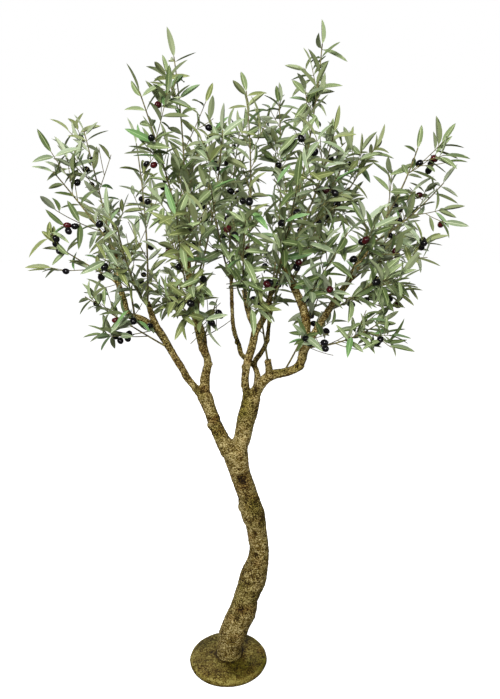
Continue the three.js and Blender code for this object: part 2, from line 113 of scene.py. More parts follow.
def leaning(direction: np.ndarray, angle: float, turn: float) -> np.ndarray:
    """A direction that leaves another by an angle, on the side that a turn around it gives."""
    return direction * math.cos(angle) + square_to(direction, turn) * math.sin(angle)


def turned(vector: np.ndarray, axis: np.ndarray, angle: float) -> np.ndarray:
    """A vector turned about a unit axis that is square to it."""
    return vector * math.cos(angle) + cross(axis, vector) * math.sin(angle)


class SeededRandom:
    """Numbers from 0 to 1 that repeat for a given seed, by the part's own rule."""

    SPREAD = 2654435761
    FACTOR = 1664525
    STEP = 1013904223
    MODULUS = 2**32

    def __init__(self, seed: int) -> None:
        """Starts the row of numbers that belongs to a seed."""
        self.state = (seed * self.SPREAD) % self.MODULUS

    def __call__(self) -> float:
        """The next number."""
        self.state = (self.state * self.FACTOR + self.STEP) % self.MODULUS
        return self.state / self.MODULUS


@dataclass
class Axis:
    """The line along the middle of a limb, stem or twig.

    Attributes:
        places: Places along it, one row each.
        radii: The radius at each place.
    """

    places: np.ndarray
    radii: np.ndarray

    def length(self) -> float:
        """The length from end to end."""
        return float(np.linalg.norm(np.diff(self.places, axis=0), axis=1).sum())

    def _leg(self, share: float) -> tuple[int, float]:
        """Finds the leg that holds a share of the length.

        Args:
            share: The share of the length.

        Returns:
            The number of the leg, and how far along that leg the share lies.
        """
        position = share * (len(self.places) - 1)
        leg = min(int(position), len(self.places) - 2)
        return leg, position - leg

    def place(self, share: float) -> np.ndarray:
        """The place at a share of the length."""
        leg, rest = self._leg(share)
        return self.places[leg] * (1 - rest) + self.places[leg + 1] * rest

    def heading(self, share: float) -> np.ndarray:
        """The direction at a share of the length."""
        leg, _ = self._leg(share)
        return unit(self.places[leg + 1] - self.places[leg])

    def radius(self, share: float) -> float:
        """The radius at a share of the length, where it tapers evenly from end to end."""
        return within((self.radii[0], self.radii[-1]), share)


class Legs:
    """The straight legs of several axes, for distances worked out all at once."""

    def __init__(self, axes: Sequence[Axis]) -> None:
        """Gathers the legs, and which axis each belongs to.

        Args:
            axes: The axes that the legs come from.
        """
        self.starts = np.concatenate([axis.places[:-1] for axis in axes])
        self.spans = np.concatenate([np.diff(axis.places, axis=0) for axis in axes])
        self.squares = (self.spans**2).sum(axis=1)
        self.radii = np.concatenate([axis.radii[:-1] for axis in axes])
        self.tapers = np.concatenate([np.diff(axis.radii) for axis in axes])
        self.owners = np.repeat(np.arange(len(axes)), [len(axis.places) - 1 for axis in axes])

    def distances(self, places: np.ndarray, to_skin: bool = False) -> np.ndarray:
        """How far each place is from each leg.

        Args:
            places: The places, one row each.
            to_skin: Whether to measure to the legs' skin, not to their middle.

        Returns:
            One row for each place and one column for each leg.
        """
        offsets = places[:, None, :] - self.starts[None]
        shares = np.clip((offsets * self.spans[None]).sum(axis=2) / self.squares[None], 0, 1)
        gaps = np.linalg.norm(offsets - shares[:, :, None] * self.spans[None], axis=2)
        if to_skin:
            gaps = gaps - (self.radii[None] + shares * self.tapers[None])
        return gaps


@dataclass(frozen=True)
class Limb:
    """A trunk, bough or limb.

    Attributes:
        name: The name of its CAD node.
        route: The places that it passes, as x, y, z and its radius there.
        ring_step: How far apart the rings of its solid lie.
    """

    FEWEST_PARTS = 3

    name: str
    route: tuple[tuple[float, float, float, float], ...]
    ring_step: float = 40.0

    def axis(self, step: float) -> Axis:
        """The smooth curve through the route, in steps of about one length.

        Args:
            step: The rough length of one step.

        Returns:
            The axis, with its radii.
        """
        stops = np.array(self.route, float)
        straight = np.linalg.norm(np.diff(stops[:, :3], axis=0), axis=1).sum()
        parts = max(self.FEWEST_PARTS, math.floor(straight / step + 0.5))
        legs = len(stops) - 1
        places, radii = [], []
        for i in range(parts + 1):
            position = i / parts * legs
            leg = min(int(position), legs - 1)
            places.append(self._curve_place(stops[:, :3], leg, position - leg))
            radii.append(within((stops[leg, 3], stops[leg + 1, 3]), position - leg))
        return Axis(np.array(places), np.array(radii))

    @staticmethod
    def _curve_place(stops: np.ndarray, leg: int, t: float) -> np.ndarray:
        """A place on the curve, which passes each stop in line with the stops beside it.

        Args:
            stops: The stops' places, one row each.
            leg: The number of the stop before the place.
            t: How far the place lies from that stop to the next, from 0 to 1.

        Returns:
            The place.
        """
        start, end = stops[leg], stops[leg + 1]
        before = stops[leg - 1] if leg > 0 else 2 * start - end
        after = stops[leg + 2] if leg + 2 < len(stops) else 2 * end - start
        leave, arrive = (end - before) / 2, (after - start) / 2
        bend = 3 * (end - start) - 2 * leave - arrive
        twist = 2 * (start - end) + leave + arrive
        return start + leave * t + bend * t**2 + twist * t**3


@dataclass(frozen=True)
class SprayPlan:
    """Where one spray of foliage grows.

    Attributes:
        name: The name of its CAD node.
        limb: The limb that its stem leaves.
        at: The share of the limb's length where it leaves.
        tip: Where its last leaf ends.
        fullness: How closely its leaves stand, next to the usual.
    """

    name: str
    limb: str
    at: float
    tip: tuple[float, float, float]
    fullness: float = 1.0


LIMBS = (
    Limb("trunk", (
        (3, 0, 18, 37), (4, -2, 55, 36), (14, -3, 93, 41), (27, -2, 130, 39), (44, 0, 168, 40.5),
        (53, 2, 210, 35), (68, 4, 250, 38), (78, 5, 286, 39), (88, 6, 322, 30.5), (92, 6, 360, 28),
        (87, 5, 400, 28), (82, 4, 436, 29), (74, 3, 470, 33.5), (65, 2, 500, 31.5), (59, 1, 530, 28),
        (49, 0, 560, 29), (38, -1, 592, 28), (30, -1, 626, 31.5), (23, 0, 658, 35.5), (17, 0, 688, 27),
    ), 38.0),
    Limb("left_bough", (
        (8, 0, 656, 24), (-18, 3, 706, 20), (-30, 4, 734, 19), (-46, 6, 778, 17.5), (-62, 8, 822, 21),
    )),
    Limb("right_bough", (
        (24, 0, 655, 27), (43, -1, 700, 23.5), (50, -2, 736, 24.5), (60, -4, 775, 26), (70, -4, 824, 25),
    )),
    Limb("left_outer_limb", (
        (-58, 8, 810, 15), (-84, 5, 841, 10.5), (-107, 1, 871, 10.2), (-121, -2, 898, 9.5),
        (-143, -6, 938, 9.5), (-166, -8, 980, 10.5), (-190, -10, 1020, 10.5),
    )),
    Limb("left_outer_limb_end", (
        (-184, -10, 1008, 10), (-226, -14, 1038, 10), (-262, -16, 1052, 9),
        (-274, -12, 1096, 8), (-291, -6, 1148, 7), (-293, 0, 1222, 5),
    )),
    Limb("left_side_limb", ((-284, -9, 1130, 6), (-300, -10, 1146, 5.5), (-322, -11, 1158, 5))),
    Limb("left_short_limb", ((-184, -8, 1008, 9), (-203, 10, 1046, 8.5), (-216, 22, 1082, 7))),
    Limb("left_inner_limb", (
        (-62, 8, 812, 16), (-60, 16, 870, 12.5), (-53, 24, 915, 10.5), (-64, 30, 950, 12),
        (-71, 34, 985, 14.5), (-80, 37, 1020, 13), (-94, 40, 1096, 11.5), (-115, 36, 1246, 8),
    )),
    Limb("right_limb", (
        (68, -4, 806, 18), (90, -8, 853, 15), (120, -15, 882, 13.5), (180, -24, 901, 11.5),
        (206, -26, 920, 12.5),
    )),
    Limb("right_limb_end", (
        (196, -26, 906, 12), (208, -24, 946, 12.5), (216, -10, 1040, 12), (178, 8, 1136, 10.5),
        (150, 14, 1196, 8.5),
    )),
    Limb("right_outer_limb", (
        (208, -22, 946, 10), (242, -32, 1012, 9.5), (284, -40, 1084, 9), (334, -36, 1158, 8),
        (389, -30, 1262, 6.5),
    )),
    Limb("inner_limb", (
        (62, -4, 806, 12), (52, -16, 860, 10.2), (56, -26, 915, 10.5),
        (70, -32, 965, 11), (82, -34, 1022, 10),
    )),
    Limb("inner_limb_left_end", ((81, -34, 1006, 8), (60, -44, 1066, 8), (50, -52, 1122, 6.5))),
    Limb("inner_limb_right_end", ((81, -34, 1006, 8.5), (104, -30, 1052, 8.5), (128, -20, 1134, 7))),
    Limb("middle_limb", (
        (70, 0, 808, 10), (87, 19, 862, 8.5), (76, 27, 902, 7.5), (42, 28, 934, 7), (34, 28, 962, 6.5),
        (18, 26, 1020, 6), (14, 24, 1156, 5),
    )),
    Limb("back_limb", (
        (75, 6, 808, 9), (85, 42, 868, 7.5), (78, 50, 906, 7), (96, 52, 934, 7), (110, 54, 962, 6.5),
        (118, 55, 1010, 6), (122, 56, 1094, 5.5),
    )),
    Limb("sawn_limb", ((116, -14, 884, 10), (116, -26, 908, 9.5), (112, -34, 930, 9.5))),
)

SPRAYS = (
    SprayPlan("foliage_left_shoulder", "left_outer_limb_end", 0.99, (-462, -90, 1470), 0.6),
    SprayPlan("foliage_left_crest", "left_outer_limb_end", 0.86, (-404, 110, 1606), 0.45),
    SprayPlan("foliage_far_left", "left_side_limb", 0.98, (-482, -40, 1260), 0.8),
    SprayPlan("foliage_low_left", "left_outer_limb", 0.74, (-422, -60, 1140), 0.8),
    SprayPlan("foliage_low_left_hanging", "left_outer_limb", 0.9, (-296, -140, 1092)),
    SprayPlan("foliage_left_heart", "left_short_limb", 0.98, (-248, 90, 1574), 0.6),
    SprayPlan("foliage_top_left", "left_inner_limb", 0.99, (-132, 20, 1778), 0.8),
    SprayPlan("foliage_top_left_front", "left_inner_limb", 0.93, (-210, -140, 1656)),
    SprayPlan("foliage_top_left_back", "left_inner_limb", 0.89, (-32, 150, 1604), 0.8),
    SprayPlan("foliage_front_crest", "left_inner_limb", 0.86, (16, -190, 1558), 0.8),
    SprayPlan("foliage_top_middle", "inner_limb_left_end", 0.98, (56, 20, 1692), 0.8),
    SprayPlan("foliage_top_right", "inner_limb_right_end", 0.98, (260, 0, 1800)),
    SprayPlan("foliage_top_right_back", "back_limb", 0.98, (150, 190, 1700)),
    SprayPlan("foliage_right_crest", "right_limb_end", 0.98, (288, -150, 1562)),
    SprayPlan("foliage_right_shoulder", "right_limb_end", 0.84, (444, 130, 1544), 0.8),
    SprayPlan("foliage_right_high", "right_outer_limb", 0.99, (508, -80, 1534), 0.5),
    SprayPlan("foliage_far_right", "right_outer_limb", 0.94, (636, 60, 1440), 0.7),
    SprayPlan("foliage_right_side", "right_outer_limb", 0.82, (570, -110, 1268)),
    SprayPlan("foliage_low_right", "right_outer_limb", 0.56, (526, -60, 1126), 2.2),
    SprayPlan("foliage_low_right_front", "right_limb_end", 0.3, (454, -150, 1072), 2.0),
    SprayPlan("foliage_front_star", "right_limb_end", 0.42, (192, -250, 1024), 1.4),
    SprayPlan("foliage_low_right_back", "right_limb", 0.66, (300, 160, 1164), 1.5),
    SprayPlan("foliage_front_low_middle", "sawn_limb", 0.9, (70, -230, 1224), 1.5),
    SprayPlan("foliage_front_middle", "middle_limb", 0.98, (-32, -270, 1416), 1.3),
    SprayPlan("foliage_front_right_crest", "inner_limb_right_end", 0.84, (180, -290, 1416)),
    SprayPlan("foliage_front_left", "left_short_limb", 0.8, (-236, -310, 1320)),
    SprayPlan("foliage_front_left_middle", "left_inner_limb", 0.76, (-94, -360, 1348), 1.2),
    SprayPlan("foliage_front_high_middle", "inner_limb_left_end", 0.8, (56, -380, 1326), 1.4),
    SprayPlan("foliage_front_right", "right_limb_end", 0.62, (292, -350, 1296), 1.2),
    SprayPlan("foliage_front_low_left", "left_inner_limb", 0.5, (0, -230, 1144), 0.7),
    SprayPlan("foliage_front_heart", "left_inner_limb", 0.62, (-36, -270, 1234), 1.2),
    SprayPlan("foliage_front_far_right", "right_outer_limb", 0.44, (408, -240, 1198), 1.5),
    SprayPlan("foliage_front_right_high", "right_outer_limb", 0.62, (364, -250, 1324)),
    SprayPlan("foliage_back_left", "left_outer_limb_end", 0.3, (-392, 320, 1374), 0.8),
    SprayPlan("foliage_back_left_crest", "left_inner_limb", 0.83, (-108, 370, 1580)),
    SprayPlan("foliage_back_middle", "middle_limb", 0.91, (34, 390, 1640)),
    SprayPlan("foliage_back_right", "right_limb_end", 0.76, (380, 370, 1552)),
    SprayPlan("foliage_back_far_right", "right_outer_limb", 0.68, (580, 300, 1358)),
    SprayPlan("foliage_back_low_left", "left_inner_limb", 0.72, (-294, 320, 1180)),
    SprayPlan("foliage_back_low_middle", "back_limb", 0.83, (162, 360, 1268), 1.2),
)


def srgb(red: int, green: int, blue: int) -> Colour:
    """A colour as the linear values that materials take.

    Args:
        red: Its red part, from 0 to 255.
        green: Its green part.
        blue: Its blue part.

    Returns:
        The linear colour, opaque.
    """
    def linear(part: int) -> float:
        """One part as a linear value."""
        share = part / 255
        return share / 12.92 if share <= 0.04045 else ((share + 0.055) / 1.055) ** 2.4

    return linear(red), linear(green), linear(blue), 1.0


class Wire:
    """A node's output, with arithmetic that adds Math nodes."""

    def __init__(self, graph: "Graph", socket: bpy.types.NodeSocket | None) -> None:
        """Wraps an output socket of a graph, or none where a node has no outputs."""
        self.graph = graph
        self.socket = socket

    def _math(self, operation: str, *values: "Wire | float") -> "Wire":
        """The result of a Math node on some values."""
        return self.graph.node("ShaderNodeMath", {"operation": operation}, dict(enumerate(values)))

    def __add__(self, other: "Wire | float") -> "Wire":
        """This value plus another."""
        return self._math("ADD", self, other)

    __radd__ = __add__

    def __sub__(self, other: "Wire | float") -> "Wire":
        """This value less another."""
        return self._math("SUBTRACT", self, other)

    def __rsub__(self, other: float) -> "Wire":
        """A number less this value."""
        return self._math("SUBTRACT", other, self)

    def __mul__(self, other: "Wire | float") -> "Wire":
        """This value times another."""
        return self._math("MULTIPLY", self, other)

    __rmul__ = __mul__

    def __abs__(self) -> "Wire":
        """How far this value is from nought."""
        return self._math("ABSOLUTE", self)

    def clamped(self) -> "Wire":
        """This value kept from 0 to 1."""
        return self.graph.node("ShaderNodeClamp", {}, {"Value": self})


class Graph:
    """A node tree that is built from nothing."""

    def __init__(self, tree: bpy.types.NodeTree) -> None:
        """Empties a tree to build in."""
        self.tree = tree
        self.tree.nodes.clear()

    def node(
        self,
        kind: str,
        settings: dict[str, object],
        inputs: dict[str | int, object],
        output: str | int = 0,
    ) -> Wire:
        """Adds a node.

        Args:
            kind: The node's type.
            settings: Its settings, which are set first; "stops" are a ramp's places and colours.
            inputs: The value or wire of each socket, by name or number.
            output: The output to give back.

        Returns:
            The wire of that output.
        """
        made = self.tree.nodes.new(kind)
        for name, value in settings.items():
            if name == "stops":
                self._set_stops(made.color_ramp, value)
            else:
                setattr(made, name, value)
        for name, value in inputs.items():
            if isinstance(value, Wire):
                self.tree.links.new(value.socket, made.inputs[name])
            else:
                made.inputs[name].default_value = value
        return Wire(self, made.outputs[output] if made.outputs else None)

    @staticmethod
    def _set_stops(ramp: bpy.types.ColorRamp, stops: Sequence[tuple[float, Colour]]) -> None:
        """Gives a ramp its stops.

        Args:
            ramp: The ramp.
            stops: The place and colour of each stop.
        """
        while len(ramp.elements) < len(stops):
            ramp.elements.new(1.0)
        for element, (position, colour) in zip(ramp.elements, stops):
            element.position = position
            element.color = colour


class MaterialGraph(Graph):
    """The node tree of one material."""

    MIX_FACTOR, MIX_FIRST, MIX_SECOND, MIX_COLOUR = 0, 6, 7, 2

    def __init__(self, name: str) -> None:
        """Starts a material with an empty node tree.

        Args:
            name: The material's name.
        """
        self.material = bpy.data.materials.new(name)
        self.material.use_nodes = True
        super().__init__(self.material.node_tree)

    def tinted(self, factor: Wire, colour: Wire, tint: Colour) -> Wire:
        """A colour with a tint laid over it in soft light.

        Args:
            factor: How strongly the tint shows.
            colour: The colour below.
            tint: The tint.

        Returns:
            The tinted colour.
        """
        settings = {"data_type": "RGBA", "blend_type": "SOFT_LIGHT"}
        inputs = {self.MIX_FACTOR: factor, self.MIX_FIRST: colour, self.MIX_SECOND: tint}
        return self.node("ShaderNodeMix", settings, inputs, self.MIX_COLOUR)

    def noise(self, vector: Wire, scale: float, detail: float, roughness: float = 0.5) -> Wire:
        """A noise pattern's value on some coordinates, in waves per metre."""
        inputs = {"Vector": vector, "Scale": scale, "Detail": detail, "Roughness": roughness}
        return self.node("ShaderNodeTexNoise", {}, inputs)

    def place(self) -> Wire:
        """The object's own coordinates, in metres."""
        return self.node("ShaderNodeTexCoord", {}, {}, "Object")

    def ramp(self, height: Wire, stops: Sequence[tuple[float, Colour]]) -> Wire:
        """The colour that a ramp of stops gives to a height."""
        return self.node("ShaderNodeValToRGB", {"stops": stops}, {"Fac": height})

    def bump(self, height: Wire, strength: float, distance: float) -> Wire:
        """The normal of a surface whose height varies by up to a distance in metres."""
        inputs = {"Strength": strength, "Distance": distance, "Height": height}
        return self.node("ShaderNodeBump", {}, inputs)

    def finish(self, inputs: dict[str | int, object]) -> bpy.types.Material:
        """Ends the tree in a Principled shader.

        Args:
            inputs: The value or wire of each of the shader's sockets.

        Returns:
            The material.
        """
        shader = self.node("ShaderNodeBsdfPrincipled", {}, inputs)
        self.node("ShaderNodeOutputMaterial", {}, {"Surface": shader})
        return self.material


@dataclass(frozen=True)
class Tint:
    """A tint that comes and goes over a coating in soft patches.

    Attributes:
        colour: The tint's colour.
        scale: Waves per metre of the patches.
        level: The level of the noise above which the tint shows.
        strength: How strongly it shows at most.
    """

    CONTRAST = 5.0

    colour: Colour
    scale: float
    level: float
    strength: float

    def over(self, graph: MaterialGraph, place: Wire, below: Wire) -> Wire:
        """Lays the tint over a colour.

        Args:
            graph: The material's graph.
            place: The coordinates that the patches lie on.
            below: The colour below.

        Returns:
            The tinted colour.
        """
        patches = graph.noise(place, self.scale, detail=2.0) - self.level
        return graph.tinted((patches * self.CONTRAST).clamped() * self.strength, below, self.colour)


@dataclass(frozen=True)
class CoatedBark:
    """The tinted coating of the bark and the disc, dark in its pits and ochre on its ridges.

    Attributes:
        name: The material's name.
        pit: The colour deep in the pits.
        flank: The colour between pits and ridges.
        ridge: The colour of the ridges.
        crest: The colour of the highest crests, well above the ridges: partly the coating's own light
            colour, partly a painted highlight on the crests.
        moss: The greener tint that comes and goes along the wood.
        rust: The redder tint that comes and goes across it.
        stretch: How closely the patterns are packed along each axis; they lie flat on the wood.
        steps: The heights at which it has the colours of pit, flank, ridge and crest.
        relief_depth: How strongly the mesh's own relief counts in the height.
        grain_scale: Waves per metre of the grain.
        grain_depth: How strongly the grain counts.
        crease_scale: Waves per metre of the folds that the dark creases run between.
        crease_contrast: How narrow the creases are.
        crease_depth: How strongly the creases count.
        blotch_scale: Waves per metre of the blotches.
        blotch_depth: How strongly the blotches count.
        lift: How far the height is raised everywhere.
        bump_crease: How strongly the creases count in the bump, next to the grain.
        bump_strength: How strongly the bump shows.
        bump_distance: The bump's height, in metres.
        roughness: The roughness in the pits.
        rubbed: How much smoother the crests are.
        specular: How strongly the coating reflects.
    """

    name: str
    pit: Colour = srgb(26, 15, 2)
    flank: Colour = srgb(78, 58, 14)
    ridge: Colour = srgb(122, 104, 44)
    crest: Colour = srgb(196, 180, 128)
    moss: Tint = Tint(srgb(92, 112, 34), scale=11.0, level=0.48, strength=0.85)
    rust: Tint = Tint(srgb(124, 78, 30), scale=19.0, level=0.52, strength=0.65)
    stretch: tuple[float, float, float] = (1.0, 1.0, 1.6)
    steps: tuple[float, float, float, float] = (0.1, 0.38, 0.62, 0.95)
    relief_depth: float = 0.4
    grain_scale: float = 240.0
    grain_depth: float = 3.5
    crease_scale: float = 95.0
    crease_contrast: float = 14.0
    crease_depth: float = 0.3
    blotch_scale: float = 26.0
    blotch_depth: float = 0.8
    lift: float = 0.05
    bump_crease: float = 0.4
    bump_strength: float = 0.8
    bump_distance: float = 0.0016
    roughness: float = 0.8
    rubbed: float = 0.3
    specular: float = 0.12

    def material(self) -> bpy.types.Material:
        """Builds the material, which reads how high each place stands from the relief attribute.

        Returns:
            The material.
        """
        graph = MaterialGraph(self.name)
        place = graph.place()
        flat = graph.node("ShaderNodeMapping", {}, {"Vector": place, "Scale": self.stretch})
        relief = graph.node("ShaderNodeAttribute", {"attribute_name": Bark.RELIEF}, {}, "Fac")
        grain = graph.noise(flat, self.grain_scale, detail=3.0, roughness=0.75)
        folds = graph.noise(flat, self.crease_scale, detail=3.0, roughness=0.6)
        crease = (abs(folds - 0.5) * self.crease_contrast).clamped()
        blotch = graph.noise(place, self.blotch_scale, detail=3.0, roughness=0.55)
        height = relief * self.relief_depth + (grain - 0.5) * self.grain_depth
        height = height + crease * self.crease_depth + (blotch - 0.5) * self.blotch_depth
        height = (height + self.lift).clamped()
        # The crest stop is partly a painted highlight on the highest crests.
        coat = graph.ramp(height, tuple(zip(self.steps, (self.pit, self.flank, self.ridge, self.crest))))
        bumps = grain + crease * self.bump_crease
        return graph.finish({
            "Base Color": self.rust.over(graph, flat, self.moss.over(graph, place, coat)),
            "Roughness": self.roughness - height * self.rubbed,
            "Normal": graph.bump(bumps, self.bump_strength, self.bump_distance),
            "Specular IOR Level": self.specular,
        })


class LeafPart(Enum):
    """The parts of a leaf that have a finish of their own, in the order of a tone's materials."""

    BLADE = 0
    MIDRIB = 1
    UNDERSIDE = 2


@dataclass(frozen=True)
class LeafTone:
    """The plain colours of one spray's leaves.

    Attributes:
        name: The tone's name.
        blade: The upper side.
        underside: The paler underside.
        midrib: The line along the middle of the upper side.
    """

    ROUGHNESS = {LeafPart.BLADE: 0.5, LeafPart.MIDRIB: 0.55, LeafPart.UNDERSIDE: 0.7}

    name: str
    blade: Colour
    underside: Colour
    midrib: Colour

    def materials(self) -> list[bpy.types.Material]:
        """Builds the tone's materials.

        Returns:
            The material of each part of a leaf, in the parts' order.
        """
        colours = zip(LeafPart, (self.blade, self.midrib, self.underside))
        return [
            MaterialGraph(f"leaf_{self.name}_{part.name.lower()}").finish(
                {"Base Color": colour, "Roughness": self.ROUGHNESS[part]}
            )
            for part, colour in colours
        ]


LEAF_TONES = (
    LeafTone("sage", srgb(121, 137, 90), srgb(152, 163, 121), srgb(178, 190, 142)),
    LeafTone("deep", srgb(80, 97, 51), srgb(122, 133, 88), srgb(136, 150, 94)),
    LeafTone("silver", srgb(135, 151, 114), srgb(166, 176, 143), srgb(189, 197, 161)),
    LeafTone("olive", srgb(120, 130, 76), srgb(146, 155, 106), srgb(173, 180, 120)),
    LeafTone("fresh", srgb(106, 143, 84), srgb(138, 164, 116), srgb(148, 180, 120)),
)


@dataclass(frozen=True)
class TwigBark:
    """The thin plastic bark of stems and twigs.

    Attributes:
        name: The material's name.
        dark: The colour of its darker streaks.
        light: The colour of its lighter streaks.
        steps: The heights of the streaks at which it is dark and light.
        scale: Waves per metre of the streaks.
        bump_strength: How strongly the streaks stand out.
        bump_distance: The streaks' height, in metres.
        roughness: Its roughness.
    """

    name: str = "twig_bark"
    dark: Colour = srgb(62, 54, 28)
    light: Colour = srgb(134, 128, 72)
    steps: Range = (0.36, 0.68)
    scale: float = 160.0
    bump_strength: float = 0.3
    bump_distance: float = 0.0004
    roughness: float = 0.7

    def material(self) -> bpy.types.Material:
        """Builds the material, streaked along the twigs.

        Returns:
            The material.
        """
        graph = MaterialGraph(self.name)
        streak = graph.noise(graph.place(), self.scale, detail=3.0, roughness=0.6)
        return graph.finish({
            "Base Color": graph.ramp(streak, tuple(zip(self.steps, (self.dark, self.light)))),
            "Roughness": self.roughness,
            "Normal": graph.bump(streak, self.bump_strength, self.bump_distance),
        })


@dataclass(frozen=True)
class OliveSkin:
    """The glossy skin of the olives.

    Attributes:
        name: The material's name.
        ground: The skin's colour.
        bloom: The colour that shows through in patches.
        steps: The heights of the patches at which the skin has its own colour and the bloom's.
        scale: Waves per metre of the patches.
        roughness: The roughness under the coat.
        specular: How strongly the skin reflects under the coat.
        coat: The weight of the clear coat.
        coat_roughness: The roughness of the clear coat.
    """

    name: str
    ground: Colour
    bloom: Colour
    steps: Range = (0.45, 0.75)
    scale: float = 60.0
    roughness: float = 0.5
    specular: float = 0.06
    coat: float = 0.5
    coat_roughness: float = 0.03

    def material(self) -> bpy.types.Material:
        """Builds the material, with soft patches under a clear coat.

        Returns:
            The material.
        """
        graph = MaterialGraph(self.name)
        patch = graph.noise(graph.place(), self.scale, detail=2.0)
        return graph.finish({
            "Base Color": graph.ramp(patch, tuple(zip(self.steps, (self.ground, self.bloom)))),
            "Roughness": self.roughness,
            "Specular IOR Level": self.specular,
            "Coat Weight": self.coat,
            "Coat Roughness": self.coat_roughness,
        })


OLIVE_SKINS = (
    OliveSkin("olive_black", srgb(7, 6, 8), srgb(20, 15, 20)),
    OliveSkin("olive_wine", srgb(52, 8, 14), srgb(86, 20, 22)),
)


def new_piece(name: str, mesh: bpy.types.Mesh, stands_for: Iterable[str]) -> bpy.types.Object:
    """Makes a mesh a piece of the tree.

    Args:
        name: The piece's name.
        mesh: Its mesh, in place.
        stands_for: The CAD nodes that it stands for.

    Returns:
        The piece's object.
    """
    piece = bpy.data.objects.new(name, mesh)
    bpy.context.scene.collection.objects.link(piece)
    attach(piece, ROOT_BODY)
    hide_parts(*stands_for)
    triangles = sum(len(polygon.vertices) - 2 for polygon in mesh.polygons)
    LOG.info("%s: %d faces, %d triangles", name, len(mesh.polygons), triangles)
    return piece


def remeshed(shape: bmesh.types.BMesh, voxel: float, smoothing: int) -> bpy.types.Mesh:
    """One skin round all the shapes of a bmesh, softened where they meet.

    Args:
        shape: The shapes, which may overlap; it is freed.
        voxel: The size of the skin's faces.
        smoothing: How often the skin is smoothed.

    Returns:
        The skin's mesh.
    """
    rough = bpy.data.meshes.new("rough")
    shape.to_mesh(rough)
    shape.free()
    draft = bpy.data.objects.new("rough", rough)
    bpy.context.scene.collection.objects.link(draft)
    remesh = draft.modifiers.new("skin", "REMESH")
    remesh.mode = "VOXEL"
    remesh.voxel_size = voxel
    soften = draft.modifiers.new("soften", "SMOOTH")
    soften.factor = SMOOTHING_FACTOR
    soften.iterations = smoothing
    graph = bpy.context.evaluated_depsgraph_get()
    skin = bpy.data.meshes.new_from_object(draft.evaluated_get(graph))
    bpy.data.objects.remove(draft)
    bpy.data.meshes.remove(rough)
    return skin


@dataclass(frozen=True)
class Scar:
    """A hollow left by a cut branch, or a knob, on the wood.

    Attributes:
        place: Its middle, on the wood's skin.
        reach: How far it spreads across and upwards.
        height: How far its middle stands out, or lies sunk where it is negative.
    """

    place: tuple[float, float, float]
    reach: tuple[float, float]
    height: float

    def lift(self, spot: Vector) -> float:
        """How far the skin is lifted at a spot.

        Args:
            spot: The spot, in millimetres.

        Returns:
            The lift, in millimetres.
        """
        across = math.hypot(spot[0] - self.place[0], spot[1] - self.place[1]) / self.reach[0]
        along = (spot[2] - self.place[2]) / self.reach[1]
        return self.height * math.exp(-((across**2 + along**2) ** 2))


@dataclass
class Bark:
    """The relief of the coating, worked into a mesh's vertices.

    Attributes:
        lump_size: The size of the lumps.
        lump_height: How far the lumps stand out.
        crumb_size: The size of the crumbs.
        crumb_height: How far the crumbs stand out.
        crumb_layers: How many times the crumbs carry finer crumbs.
        crumb_level: Where the crumbs' heights begin, before their depth is taken off.
        crumb_depth: How deep the gaps between the crumbs are.
        wrinkle_size: The size of the wrinkles across and along the wood.
        wrinkle_height: How far the wrinkles stand out, next to the crumbs.
        relief_level: The relief of a spot with no crumb or hollow.
        relief_crumbs: How strongly the crumbs count in the relief.
        relief_hollows: How strongly the scars count in the relief, per millimetre.
        scars: The scars.
    """

    RELIEF = "relief"

    lump_size: float = 30.0
    lump_height: float = 1.5
    crumb_size: float = 12.0
    crumb_height: float = 1.3
    crumb_layers: int = 3
    crumb_level: float = 1.2
    crumb_depth: float = 1.9
    wrinkle_size: tuple[float, float] = (22.0, 8.0)
    wrinkle_height: float = 0.8
    relief_level: float = 0.5
    relief_crumbs: float = 0.5
    relief_hollows: float = 0.22
    scars: tuple[Scar, ...] = ()

    def work(self, mesh: bpy.types.Mesh, fade: Callable[[Vector, Vector], float]) -> None:
        """Moves a mesh's vertices in and out, and keeps how far as an attribute.

        Args:
            mesh: The mesh, in metres.
            fade: How strongly the relief counts at a place with a normal, from 0 to 1.
        """
        count = len(mesh.vertices)
        places, normals = np.empty(3 * count, np.float32), np.empty(3 * count, np.float32)
        mesh.vertices.foreach_get("co", places)
        mesh.vertices.foreach_get("normal", normals)
        places, normals = places.reshape(-1, 3), normals.reshape(-1, 3)
        lifts, heights = np.empty(count), np.empty(count)
        for i, (place, normal) in enumerate(zip((places / MM).tolist(), normals.tolist())):
            spot = Vector(place)
            crumbs = self._crumbs(spot)
            lumps = noise.noise(spot / self.lump_size) * self.lump_height
            hollows = sum(scar.lift(spot) for scar in self.scars)
            weight = fade(spot, Vector(normal))
            lifts[i] = (lumps + hollows + crumbs * self.crumb_height) * weight
            heights[i] = self.relief_level + self.relief_crumbs * crumbs + self.relief_hollows * hollows
        moved = places + normals * (lifts[:, None] * MM)
        mesh.vertices.foreach_set("co", moved.astype(np.float32).ravel())
        attribute = mesh.attributes.new(self.RELIEF, "FLOAT", "POINT")
        attribute.data.foreach_set("value", np.clip(heights, -1, 1).astype(np.float32))
        mesh.update()

    def _crumbs(self, spot: Vector) -> float:
        """The crumbled and wrinkled texture.

        Args:
            spot: The spot, in millimetres.

        Returns:
            Its height there, from about -1 to 1.
        """
        crumbs = noise.turbulence(spot / self.crumb_size, self.crumb_layers, True)
        across, along = self.wrinkle_size
        wrinkles = noise.noise(Vector((spot.x / across, spot.y / across, spot.z / along)))
        return self.crumb_level - self.crumb_depth * crumbs + self.wrinkle_height * wrinkles


